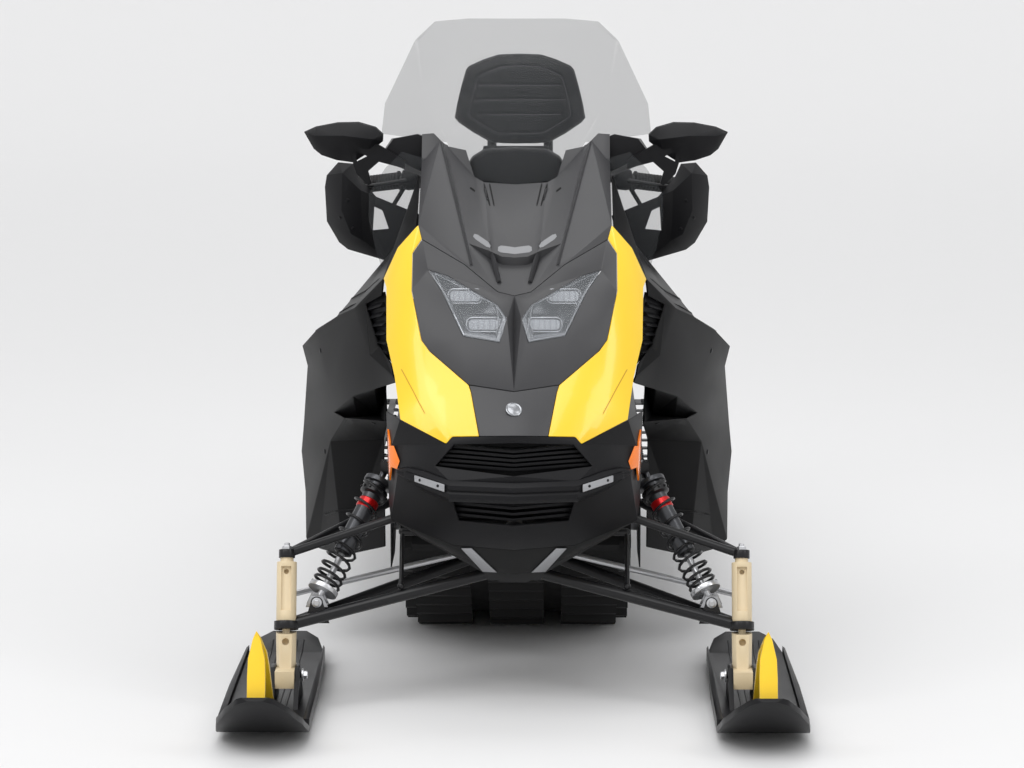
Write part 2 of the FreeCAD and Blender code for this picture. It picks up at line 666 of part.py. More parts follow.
def make_wheels():
    """Idler, bogie and carrier wheels with their axles, one axle to each pair."""
    groups = []
    for y, z, radius in wheel_places():
        reach = S.wheel_offset
        if y == S.carrier_y:
            reach = S.track_width / 2 + S.tunnel_clearance - S.seat_gap
        axle = rod(V(-reach, y, z), V(reach, y, z), S.axle_radius)
        pieces = [axle]
        for side in (-1, 1):
            pieces.append(wheel(side * S.wheel_offset, y, z, radius, S.wheel_width, S.axle_radius - 1))
        groups.append(fused(pieces))
    feature("idler_wheels", Part.makeCompound(groups))


def make_drive_axle():
    """The drive shaft with two toothed drivers, whose tips run just inside the belt."""
    reach = S.track_width / 2 + S.tunnel_clearance - S.seat_gap
    shaft = rod(V(-reach, S.drive_y, S.drive_z), V(reach, S.drive_y, S.drive_z), S.drive_axle_radius)
    outer = S.drive_radius - S.belt_thickness / 2 - S.seat_gap
    points = []
    teeth = round(S.driver_teeth)
    for i in range(teeth):
        for share, radius in (
            (0, outer), (DRIVER_TIP_SHARE, outer), (DRIVER_TIP_SHARE * 2, outer - S.driver_tooth),
            (1 - DRIVER_TIP_SHARE, outer - S.driver_tooth),
        ):
            turn = math.tau * (i + share) / teeth
            points.append(V(0, S.drive_y + math.cos(turn) * radius, S.drive_z + math.sin(turn) * radius))
    pieces = [shaft]
    for side in (-1, 1):
        driver = prism(points, V(S.sprocket_width, 0, 0))
        driver.translate(V(side * S.sprocket_offset - S.sprocket_width / 2, 0, 0))
        pieces.append(driver)
    feature("drive_axle", fused(pieces))


DRIVER_TIP_SHARE = 0.22


def make_rails():
    """Two slide rails that the belt runs under, curved up at the front."""
    low = S.lug_height + S.belt_thickness + S.seat_gap
    centre_z = S.lug_height + S.belt_thickness / 2 + S.approach_radius
    reach = centre_z - low
    turn = math.asin((S.approach_y - S.rail_front_y) / reach)
    rails = []
    for side in (-1, 1):
        outer_end = V(0, S.approach_y - math.sin(turn) * reach, centre_z - math.cos(turn) * reach)
        outer_mid = V(0, S.approach_y - math.sin(turn / 2) * reach, centre_z - math.cos(turn / 2) * reach)
        inner = reach - S.rail_height
        inner_end = V(0, S.approach_y - math.sin(turn) * inner, centre_z - math.cos(turn) * inner)
        inner_mid = V(0, S.approach_y - math.sin(turn / 2) * inner, centre_z - math.cos(turn / 2) * inner)
        rear_y = S.idler_y + S.axle_radius * 2
        foot = V(0, S.approach_y, low)
        head = V(0, S.approach_y, low + S.rail_height)
        rear_low = V(0, rear_y, low + S.rail_height / 2)
        rear_start = V(0, rear_y - S.rail_height, low)
        rear_top = V(0, rear_y, ground_wheel_z(S.idler_radius))
        rear_neck = V(0, rear_y - 2 * S.rail_height, low + S.rail_height)
        wire = Part.Wire([
            Part.LineSegment(foot, rear_start).toShape(), Part.LineSegment(rear_start, rear_low).toShape(),
            Part.LineSegment(rear_low, rear_top).toShape(), Part.LineSegment(rear_top, rear_neck).toShape(),
            Part.LineSegment(rear_neck, head).toShape(), Part.Arc(head, inner_mid, inner_end).toShape(),
            Part.LineSegment(inner_end, outer_end).toShape(), Part.Arc(outer_end, outer_mid, foot).toShape(),
        ])
        rail = Part.Face(wire).extrude(V(S.rail_thickness, 0, 0))
        rail.translate(V(side * S.rail_offset - S.rail_thickness / 2, 0, 0))
        boss_y, boss_z, _ = wheel_places()[0]
        boss_x = side * S.rail_offset - S.rail_thickness / 2
        boss = V(boss_x, boss_y, boss_z)
        rail = rail.fuse(rod(boss, boss + V(S.rail_thickness, 0, 0), S.rail_boss))
        for y, z, _ in wheel_places():
            if z < S.drive_z / 2:
                hole = S.axle_radius + S.seat_gap
                rail = rail.cut(rod(V(-S.track_width, y, z), V(S.track_width, y, z), hole))
        rails.append(rail)
    feature("slide_rails", Part.makeCompound(rails))


def make_skid_suspension():
    """Front and rear arms of the skid with their cross tubes and shocks."""
    span = S.track_width / 2 + S.tunnel_clearance - S.seat_gap
    inner = S.rail_offset - S.rail_thickness / 2 - S.seat_gap
    groups = []
    for top_y, top_z, low_y in (
        (S.front_arm_y, S.front_arm_z, S.front_arm_low_y), (S.rear_arm_y, S.rear_arm_z, S.rear_arm_low_y),
    ):
        pieces = [rod(V(-span, top_y, top_z), V(span, top_y, top_z), S.skid_tube_radius)]
        pieces.append(rod(V(-inner, low_y, S.skid_arm_low_z), V(inner, low_y, S.skid_arm_low_z),
                          S.skid_tube_radius))
        for side in (-1, 1):
            x = side * (inner - S.skid_tube_radius * 2)
            pieces.append(rod(V(x, top_y, top_z), V(x, low_y, S.skid_arm_low_z), S.skid_tube_radius))
        pieces.append(rod(V(0, top_y, top_z), V(0, low_y, S.skid_arm_low_z), S.skid_shock_radius))
        groups.append(fused(pieces))
    feature("skid_suspension", Part.makeCompound(groups))


# Tunnel, boards and other structure
def make_tunnel():
    """The folded sheet over the track: side profile padded, then hollowed from below."""
    body = doc.addObject("PartDesign::Body", "Tunnel")
    side = [
        ("tunnel_front_y", "tunnel_front_top"), ("tunnel_front_y", "tunnel_nose_low"),
        ("tunnel_nose_y", "tunnel_nose_low"), ("tunnel_nose_y + board_width", "tunnel_side_low"),
        ("board_rear_y", "tunnel_side_low"), ("tunnel_rear_y", "tunnel_rear_low"),
        ("tunnel_rear_y", "tunnel_rear_top"), ("board_front_y", "tunnel_front_top"),
    ]
    pad(body, outline(body, "YZ_Plane", side), "track_width + 2*tunnel_clearance + 2*tunnel_wall")
    inner = [
        ("tunnel_front_y - overrun", "tunnel_front_top - tunnel_wall"),
        ("tunnel_front_y - overrun", "tunnel_nose_low - overrun"),
        ("tunnel_rear_y + overrun", "tunnel_nose_low - overrun"),
        ("tunnel_rear_y + overrun", "tunnel_rear_top - tunnel_wall"),
        ("tunnel_rear_y", "tunnel_rear_top - tunnel_wall"),
        ("board_front_y", "tunnel_front_top - tunnel_wall"),
    ]
    pocket(body, outline(body, "YZ_Plane", inner), "track_width + 2*tunnel_clearance")
    keep(body, "tunnel")


def make_boards():
    """Running boards: a grip tread with open slots, a rolled edge and a kick-up at the front."""
    inner = S.track_width / 2 + S.tunnel_clearance + S.tunnel_wall
    outer = inner + S.board_width
    low = S.board_z - S.board_thickness
    profile = [
        V(inner, 0, S.board_z), V(inner, 0, S.board_z - S.tunnel_wall),
        V(outer - S.board_thickness, 0, S.board_z - S.tunnel_wall), V(outer - S.board_thickness, 0, low),
        V(outer, 0, low), V(outer, 0, S.board_z + S.tunnel_wall),
        V(outer - S.board_thickness, 0, S.board_z + S.tunnel_wall),
        V(outer - S.board_thickness, 0, S.board_z),
    ]
    length = S.board_rear_y - S.board_front_y
    board = prism(profile, V(0, length, 0))
    board.translate(V(0, S.board_front_y, 0))
    count = int((length - S.board_slot_pitch) / S.board_slot_pitch)
    slots = []
    for i in range(count):
        y = S.board_front_y + S.board_slot_pitch * (i + 1)
        for share in (0.2, 0.52):
            x = inner + share * (S.board_width - S.board_thickness)
            slots.append(block(V(x, y, low - S.overrun),
                               V(x + S.board_slot_width, y + S.board_slot_length, S.board_z + S.overrun)))
    board = board.cut(Part.makeCompound(slots)).removeSplitter()
    board.translate(V(S.seat_gap, 0, 0))
    feature("running_boards", both(board))


def make_engine():
    """The engine as one plain block, with a channel for the steering column."""
    body = doc.addObject("PartDesign::Body", "Engine")
    front = [
        ("engine_front_y", "engine_low"), ("engine_rear_y", "engine_low"),
        ("engine_rear_y", "engine_top"), ("engine_front_y", "engine_top"),
    ]
    pad(body, outline(body, "YZ_Plane", front), "engine_width")
    channel = [
        ("engine_front_y - overrun", "engine_low - overrun"),
        ("engine_front_y + channel_inset", "engine_low - overrun"),
        ("engine_rear_y + overrun", "engine_low + engine_rear_y - engine_front_y - channel_inset"),
        ("engine_rear_y + overrun", "engine_top + overrun"),
        ("engine_front_y - overrun", "engine_top + overrun"),
    ]
    pocket(body, outline(body, "YZ_Plane", channel), "column_slot")
    keep(body, "engine_block")


def frame_sizes():
    """The frame's outer half width, at the upper arms' bushings, and its rear end, at the tunnel."""
    half = S.upper_inner_x - S.upper_arm_radius - S.bushing_wall - S.seat_gap
    return half, S.tunnel_front_y - S.seat_gap


def column_places():
    """The column's direction, its head, the pitman arm's root and the arm's end."""
    lean = math.radians(S.column_angle)
    column = V(0, math.cos(lean), math.sin(lean))
    across = V(0, math.sin(lean), -math.cos(lean))
    head = V(0, S.bar_y, S.bar_z)
    drop = (S.bar_z - S.pitman_z + across.z * S.steer_arm) / column.z
    root = head - column * drop
    return column, head, root, root + across * S.steer_arm


def make_front_frame():
    """The cast front frame: a keel, two bulkheads, side plates, shock towers and engine beams."""
    half, rear = frame_sizes()
    wall = S.frame_wall
    keel = S.frame_keel / 2
    outline = [V(-keel, 0, S.frame_low), V(keel, 0, S.frame_low), V(half, 0, S.frame_side_low),
               V(half, 0, S.frame_top), V(-half, 0, S.frame_top), V(-half, 0, S.frame_side_low)]
    window = [V(-keel, 0, S.frame_low + wall * 4), V(keel, 0, S.frame_low + wall * 4),
              V(half - wall, 0, S.frame_side_low + wall), V(half - wall, 0, S.frame_top - wall),
              V(-half + wall, 0, S.frame_top - wall), V(-half + wall, 0, S.frame_side_low + wall)]
    bulkhead = prism(outline, V(0, wall, 0)).cut(prism(window, V(0, wall, 0)))
    front = bulkhead.translated(V(0, S.frame_front_y, 0))
    back = bulkhead.translated(V(0, rear - wall, 0))
    pieces = [front, back, block(V(-keel, S.frame_front_y, S.frame_low), V(keel, rear, S.frame_low + wall))]
    for side in (-1, 1):
        low_x, high_x = sorted((side * half, side * (half - wall)))
        pieces.append(block(V(low_x, S.frame_front_y, S.frame_side_low), V(high_x, rear, S.frame_top)))
        eye = S.shock_eye_radius
        for way in (-1, 1):
            inner = S.shock_top_y + way * (S.shock_eye_width / 2 + S.seat_gap)
            pieces.append(prism([
                V(side * (half - wall), inner, S.frame_top - wall),
                V(side * (S.shock_top_x + eye), inner, S.shock_top_z - eye / 2),
                V(side * (S.shock_top_x + eye), inner, S.shock_top_z + eye),
                V(side * (half - wall), inner, S.shock_top_z + eye),
            ], V(0, way * S.ear_wall, 0)))
    beam_top = S.engine_low - S.seat_gap
    for y in (S.engine_front_y + wall, S.engine_rear_y - 3 * wall):
        pieces.append(block(V(-half, y, beam_top - wall), V(half, y + 2 * wall, beam_top)))
    pieces.append(block(V(-half, rear - wall, S.frame_top - wall), V(half, rear, S.tunnel_front_top)))
    nose = S.cowl_nose_y + S.grille_rear_share * S.cowl_length + S.seat_gap
    for side in (-1, 1):
        low_x, high_x = sorted((side * half / 2, side * (half / 2 - wall * 4)))
        pieces.append(block(V(low_x, nose, S.frame_top - wall * 4),
                            V(high_x, S.frame_front_y + wall, S.frame_top)))
    column, head, root, _ = column_places()
    ring_middle = root - column * (S.rod_end_radius * 2 + S.bearing_length / 2)
    ring = rod(ring_middle - column * (S.bearing_length / 2), ring_middle + column * (S.bearing_length / 2),
               S.bearing_radius)
    pieces.append(ring)
    pieces.append(block(V(-half, ring_middle.y - wall, ring_middle.z - wall),
                        V(half, ring_middle.y + wall, min(ring_middle.z + wall, beam_top))))
    frame = fused(pieces)
    frame = frame.cut(rod(root - column * S.steer_arm, head, S.column_radius + S.seat_gap))
    swing = S.steer_arm + S.pitman_offset + S.rod_end_radius * 2
    frame = frame.cut(rod(root - column * S.rod_end_radius, root + column * S.rod_end_radius, swing))
    room = S.lower_arm_radius + S.bushing_wall + S.seat_gap
    for y in (S.lower_front_y, S.lower_rear_y):
        for side in (-1, 1):
            reach = V(0, S.ball_joint_radius + S.seat_gap, 0)
            spot = V(side * S.lower_inner_x, y, S.lower_inner_z)
            ball = V(side * S.ball_x, S.lower_ball_y, S.lower_ball_z)
            frame = frame.cut(rod(spot - reach, spot + reach, room))
            frame = frame.cut(rod(spot, ball, S.lower_arm_radius + S.seat_gap))
    feature("front_frame", frame.removeSplitter())


# Front suspension
def kingpin():
    """Lower and upper ball joints of the left side and the axis between them."""
    lower = V(S.ball_x, S.lower_ball_y, S.lower_ball_z)
    upper = V(S.ball_x, S.upper_ball_y, S.upper_ball_z)
    return lower, upper, (upper - lower).normalize()


def make_arms():
    """Lower and upper A-arms, two legs each, meeting at a ball-joint eye."""
    lower, upper, axis = kingpin()
    eye = S.ball_joint_radius
    low_front = V(S.lower_inner_x, S.lower_front_y, S.lower_inner_z)
    low_rear = V(S.lower_inner_x, S.lower_rear_y, S.lower_inner_z)
    bushing = V(0, S.ball_joint_radius, 0)
    sleeve = S.lower_arm_radius + S.bushing_wall
    pieces = [
        rod(lower, low_front, S.lower_arm_radius), rod(lower, low_rear, S.lower_arm_radius),
        rod(low_front - bushing, low_front + bushing, sleeve),
        rod(low_rear - bushing, low_rear + bushing, sleeve),
    ]
    foot = V(S.shock_low_x, S.shock_low_y, S.shock_low_z)
    for way in (-1, 1):
        inner = foot + V(0, way * (S.shock_eye_width / 2 + S.seat_gap), 0)
        outer = inner + V(0, way * S.ear_wall, 0)
        pieces.append(rod(inner, outer, S.shock_eye_radius))
        ear = prism([
            inner + V(-S.shock_eye_radius, 0, 0), inner + V(S.shock_eye_radius, 0, 0),
            inner + V(S.shock_eye_radius * 2, 0, S.lower_ball_z - foot.z),
            inner + V(-S.shock_eye_radius * 2, 0, S.lower_ball_z - foot.z),
        ], outer - inner)
        pieces.append(ear)
    arm = fused(pieces)
    gap = rod(lower - axis * eye * 2, lower + axis * eye * 2, S.spindle_radius + S.seam)
    arm = arm.cut(gap)
    ring = rod(lower - axis * (eye / 2), lower + axis * (eye / 2), eye * 1.5)
    ring = ring.cut(rod(lower - axis * eye, lower + axis * eye, S.spindle_pin_radius + S.seat_gap))
    feature("lower_arms", both(fused([arm, ring])))
    up_front = V(S.upper_inner_x, S.upper_front_y, S.upper_inner_z)
    up_rear = V(S.upper_inner_x, S.upper_rear_y, S.upper_inner_z)
    pieces = [
        rod(upper, up_front, S.upper_arm_radius), rod(upper, up_rear, S.upper_arm_radius),
        rod(up_front - bushing, up_front + bushing, S.upper_arm_radius + S.bushing_wall),
        rod(up_rear - bushing, up_rear + bushing, S.upper_arm_radius + S.bushing_wall),
    ]
    arm = fused(pieces).cut(rod(upper - axis * eye * 2, upper + axis * eye * 2, eye * 0.85))
    ring = rod(upper - axis * (eye / 2), upper + axis * (eye / 2), eye)
    ring = ring.cut(rod(upper - axis * eye, upper + axis * eye, S.spindle_pin_radius + S.seat_gap))
    feature("upper_arms", both(fused([arm, ring])))


def coil(start, end, radius, wire, turns):
    """A spring as a run of straight wire pieces: the first turns lie close, the others open up."""
    steps = round(turns * SPRING_STEPS)
    length = (end - start).Length
    rings = []
    for i in range(steps + 1):
        share = i / steps
        rise = length * (SPRING_CLOSE_SHARE * share + (1 - SPRING_CLOSE_SHARE) * share ** 2)
        angle = math.tau * i / SPRING_STEPS
        outward = V(math.cos(angle), math.sin(angle), 0)
        centre = outward * radius + V(0, 0, rise)
        ring = []
        for k in range(SPRING_SIDES):
            turn = math.tau * k / SPRING_SIDES
            ring.append(centre + outward * (wire * math.cos(turn)) + V(0, 0, wire * math.sin(turn)))
        rings.append(ring)
    faces = [list(reversed(rings[0])), rings[-1]]
    for ring, onward in zip(rings, rings[1:]):
        for k in range(SPRING_SIDES):
            j = (k + 1) % SPRING_SIDES
            faces.append([ring[k], ring[j], onward[j]])
            faces.append([ring[k], onward[j], onward[k]])
    shell = Part.makeShell([polygon_face(face) for face in faces])
    shell.sewShape()
    solid = Part.makeSolid(shell)
    if solid.Volume < 0:
        solid.reverse()
    solid.Placement = FreeCAD.Placement(start, FreeCAD.Rotation(V(0, 0, 1), end - start))
    return solid


SPRING_STEPS = 12
SPRING_SIDES = 6
SPRING_CLOSE_SHARE = 0.35


def make_shocks():
    """Front shocks, their bright rods and the coil springs around them."""
    foot = V(S.shock_low_x, S.shock_low_y, S.shock_low_z)
    top = V(S.shock_top_x, S.shock_top_y, S.shock_top_z)
    along = (top - foot).normalize()
    knee = foot + along * S.shock_rod_length
    half_eye = V(0, S.shock_eye_width / 2, 0)
    seat = foot + along * (S.shock_eye_radius + S.spring_seat)
    cap = top - along * (S.shock_eye_radius + S.spring_cap_drop)
    rod_pieces = [
        rod(foot, knee, S.shock_rod_radius), rod(foot - half_eye, foot + half_eye, S.shock_eye_radius),
        rod(seat, seat + along * S.spring_seat, S.spring_radius + S.spring_wire),
    ]
    feature("shock_rods", both(fused(rod_pieces)))
    body = [
        rod(knee + along * S.seat_gap, cap, S.shock_body_radius), rod(cap, top, S.shock_rod_radius),
        rod(top - half_eye, top + half_eye, S.shock_eye_radius),
        rod(cap - along * S.spring_seat, cap, S.spring_radius + S.spring_wire),
    ]
    feature("front_shocks", both(fused(body)))
    start = seat + along * (S.spring_seat + S.seat_gap + S.spring_wire)
    end = cap - along * (S.spring_seat + S.seat_gap + S.spring_wire)
    feature("front_springs", both(coil(start, end, S.spring_radius, S.spring_wire, S.spring_turns)))


def make_sway_bar():
    """The sway bar across the front frame with its drop links."""
    z = S.frame_side_low - S.sway_bar_radius - S.seat_gap
    share = (S.ball_x - S.sway_link_x) / (S.ball_x - S.lower_inner_x)
    leg_y = S.lower_ball_y + share * (S.lower_front_y - S.lower_ball_y)
    leg_z = S.lower_ball_z + share * (S.lower_inner_z - S.lower_ball_z)
    top = V(S.sway_link_x, S.sway_y, z)
    foot = V(S.sway_link_x, leg_y, leg_z + S.lower_arm_radius + S.sway_bar_radius)
    pieces = [rod(V(0, S.sway_y, z), top, S.sway_bar_radius), rod(top, foot, S.sway_link_radius)]
    pieces.append(Part.makeSphere(S.sway_bar_radius - S.seat_gap, foot))
    pieces.append(Part.makeSphere(S.sway_bar_radius, top))
    bar = fused(pieces)
    feature("sway_bar", fused([bar, mirrored(bar)]))


# Steering
def make_spindle(side_name, side):
    """The cast spindle: a recessed barrel between the ball joints and a wedge down to the ski bolt."""
    lower, upper, axis = kingpin()
    forward = V(0, -axis.z, axis.y)
    radius = S.spindle_radius
    foot = V(S.ball_x, S.ski_bolt_y, S.ski_bolt_z)
    half_eye = S.ball_joint_radius / 2 + S.seat_gap
    upper_start = lower + axis * half_eye
    upper_end = upper - axis * half_eye
    shoulder = upper_end - axis * S.spindle_top_gap * 1.5
    pin = S.spindle_pin_radius
    wedge_top = lower - axis * (half_eye + S.spindle_top_gap)
    pieces = [
        rod(upper_start, shoulder, radius), rod(shoulder, upper_end, radius * 0.66),
        rod(lower - axis * (half_eye + S.spindle_top_gap * 2), upper + axis * half_eye, pin),
    ]
    sections = []
    for spot, half in ((wedge_top, radius), (V(foot.x, foot.y, S.foot_low), S.foot_width / 2 - S.seam)):
        back, front, nose = spot.y + radius * 0.76, spot.y - radius * 0.86, half * 0.62
        sections.append([
            V(spot.x - half, back, spot.z), V(spot.x + half, back, spot.z), V(spot.x + half, spot.y, spot.z),
            V(spot.x + nose, front, spot.z), V(spot.x - nose, front, spot.z),
            V(spot.x - half, spot.y, spot.z),
        ])
    pieces.append(lofted(sections))
    heel = V(S.foot_width / 2, S.foot_length / 2, 0)
    pieces.append(block(foot - heel - V(0, 0, foot.z - S.foot_low), foot + heel + V(0, 0, radius * 0.76)))
    arm_root = upper_start + axis * ((S.tie_rod_z - upper_start.z) / axis.z)
    back = V(0, axis.z, -axis.y)
    arm_end = arm_root + back * S.steer_arm
    thick = S.arm_thickness / 2
    pieces.append(rod(arm_root, arm_end, thick))
    pieces.append(rod(arm_end - axis * thick, arm_end + axis * thick, S.rod_end_radius))
    pieces.append(rod(arm_end, arm_end + axis * (thick + S.rod_end_thickness), pin * 0.75))
    shape = fused(pieces)
    half = V(radius / 2, 0, 0)
    face = forward * (radius - S.recess_depth)
    start = upper_start + axis * radius + face
    end = shoulder - axis * (radius / 2) + face
    recess = prism([start - half, start + half, end + half, end - half], forward * radius)
    bolt = end - axis * (radius / 2)
    bolt_hole = rod(bolt - face, bolt + forward * radius, radius * 0.25)
    eye = wedge_top - axis * radius
    eye_hole = rod(eye, eye + forward * (radius * 2), radius * 0.35)
    ski_bolt = rod(foot - V(S.ski_width, 0, 0), foot + V(S.ski_width, 0, 0), S.ski_bolt_radius)
    shape = shape.cut([recess, bolt_hole, eye_hole, ski_bolt])
    feature("spindle_" + side_name, shape if side > 0 else mirrored(shape))
    return arm_end + axis * (thick + S.seat_gap + S.rod_end_thickness / 2), axis


def make_tie_rod(side_name, side, outer, axis):
    """A tie rod with an eye at each end; the inner end stays clear of the pitman arm's pin."""
    column, _, _, end = column_places()
    half = S.rod_end_thickness / 2
    inner = end + V(S.pitman_offset, 0, 0) - column * (S.rod_end_radius * 0.6 + S.pitman_gap + half)
    ring = rod(outer - axis * half, outer + axis * half, S.rod_end_radius)
    pieces = [ring, rod(outer, inner, S.tie_rod_radius)]
    pieces.append(rod(inner - column * half, inner + column * half, S.rod_end_radius))
    shape = fused(pieces).cut(rod(outer - axis * S.rod_end_radius, outer + axis * S.rod_end_radius,
                                  S.spindle_pin_radius * 0.75 + S.seat_gap))
    feature("tie_rod_" + side_name, shape if side > 0 else mirrored(shape))


def bar_spots():
    """The left half of the bar: its middle, knee, bend and grip end."""
    middle = V(0, S.bar_y, S.bar_z)
    knee = V(S.bar_half_width * 0.2, S.bar_y, S.bar_z)
    bend = V(S.bar_half_width * 0.5, S.bar_y + S.bar_sweep / 3, S.bar_z + S.bar_rise)
    grip_end = V(S.bar_half_width, S.bar_y + S.bar_sweep, S.bar_z + S.bar_rise / 2)
    return middle, knee, bend, grip_end


def make_handlebar():
    """The column with its pitman arm, the bar and the grips."""
    column, head, root, end = column_places()
    foot = root - column * (S.rod_end_radius * 2 + S.bearing_length)
    half = S.rod_end_radius * 0.6
    bar = pipe(list(bar_spots()), S.bar_bend, S.bar_radius)
    _, _, bend, grip_end = bar_spots()
    along = (bend - grip_end).normalize()
    grip = rod(grip_end, grip_end + along * S.grip_length, S.grip_radius)
    ears = prism([
        end + V(-S.pitman_offset - S.rod_end_radius, 0, 0) - column * half, end + V(0, 0, 0) - column * half
        - (end - root).normalize() * S.rod_end_radius * 2,
        end + V(S.pitman_offset + S.rod_end_radius, 0, 0) - column * half,
        end + V(0, 0, 0) - column * half + (end - root).normalize() * S.rod_end_radius,
    ], column * half * 2)
    pieces = [rod(foot, head, S.column_radius), bar, mirrored(bar), grip, mirrored(grip),
              rod(root, end, half), ears]
    feature("handlebar", fused(pieces))


def make_handguards():
    """Handguards: a bulged lobe before each grip and a wing inward, with an opening between them."""
    corners = {}
    for name, (across, forward, up) in GUARD_SHARES.items():
        corners[name] = V(across * S.guard_reach, S.guard_y - forward * S.guard_depth, up * S.bar_z)
    inside = V(S.guard_reach * 0.8, S.guard_y + S.guard_depth * 3, S.bar_z * 0.97)
    shell = Shell(corners, {"guard": GUARD_FACES}, inside)
    guard = shell.solid("guard", S.guard_wall, 0)
    _, _, bend, grip_end = bar_spots()
    along = (bend - grip_end).normalize()
    clamp = grip_end + along * (S.grip_length + S.grip_radius)
    ring = rod(clamp, clamp + along * S.grip_radius, S.bar_radius + S.guard_wall)
    hold = clamp + along * (S.grip_radius / 2)
    seat = corners["wing_top"] + (corners["wing_low"] - corners["wing_top"]) * GUARD_HOLD_SHARE
    knee = V(seat.x, hold.y, seat.z)
    arm = rod(hold, knee, S.guard_wall)
    stem = rod(knee, seat + V(0, S.guard_wall / 2, 0), S.guard_wall)
    guard = fused([guard, ring, arm, Part.makeSphere(S.guard_wall, knee), stem])
    feature("handguards", both(guard.cut(rod(grip_end, bend, S.bar_radius + S.seat_gap))))


# Handguard corners: shares of its reach from the middle, of its depth forward and of the bar's height
GUARD_SHARES = {
    "top": (0.93, 0.0, 1.091), "top_out": (0.99, 0.0, 1.061), "out": (1.0, 0.0, 1.034),
    "out_low": (0.991, 0.0, 0.955), "low_out": (0.927, 0.0, 0.906), "low": (0.881, 0.0, 0.89),
    "foot": (0.66, 0.0, 0.861), "wing_foot": (0.54, 0.0, 0.889), "wing_tip": (0.492, 0.0, 0.968),
    "wing_top": (0.65, 0.0, 0.997), "neck": (0.733, 0.0, 1.012), "inner": (0.817, 0.0, 1.054),
    "inner_top": (0.852, 0.0, 1.088),
    "hole_top": (0.742, 0.1, 0.99), "hole_in": (0.7, 0.05, 0.98), "wing_low": (0.668, 0.05, 0.938),
    "hole_low": (0.75, 0.1, 0.935),
    "crest_top": (0.905, 0.8, 1.07), "crest": (0.908, 1.0, 0.985), "crest_low": (0.86, 0.85, 0.93),
    "crest_in": (0.8, 0.7, 0.915), "crest_neck": (0.81, 0.75, 1.03),
}
GUARD_FACES = [
    ("top", "top_out", "crest_top"), ("top_out", "out", "crest_top"),
    ("out", "out_low", "crest", "crest_top"),
    ("out_low", "low_out", "crest_low", "crest"), ("low_out", "low", "crest_low"),
    ("low", "foot", "crest_in", "crest_low"), ("foot", "wing_low", "hole_low", "crest_in"),
    ("foot", "wing_foot", "wing_low"), ("wing_foot", "wing_tip", "wing_low"),
    ("wing_tip", "wing_top", "wing_low"), ("wing_top", "hole_in", "wing_low"),
    ("wing_top", "neck", "hole_top", "hole_in"), ("neck", "inner", "crest_neck", "hole_top"),
    ("inner", "inner_top", "crest_top", "crest_neck"), ("inner_top", "top", "crest_top"),
    ("crest_neck", "crest_top", "crest"), ("crest_neck", "crest", "crest_low", "crest_in"),
    ("hole_top", "crest_neck", "crest_in", "hole_low"),
]
GUARD_HOLD_SHARE = 0.25


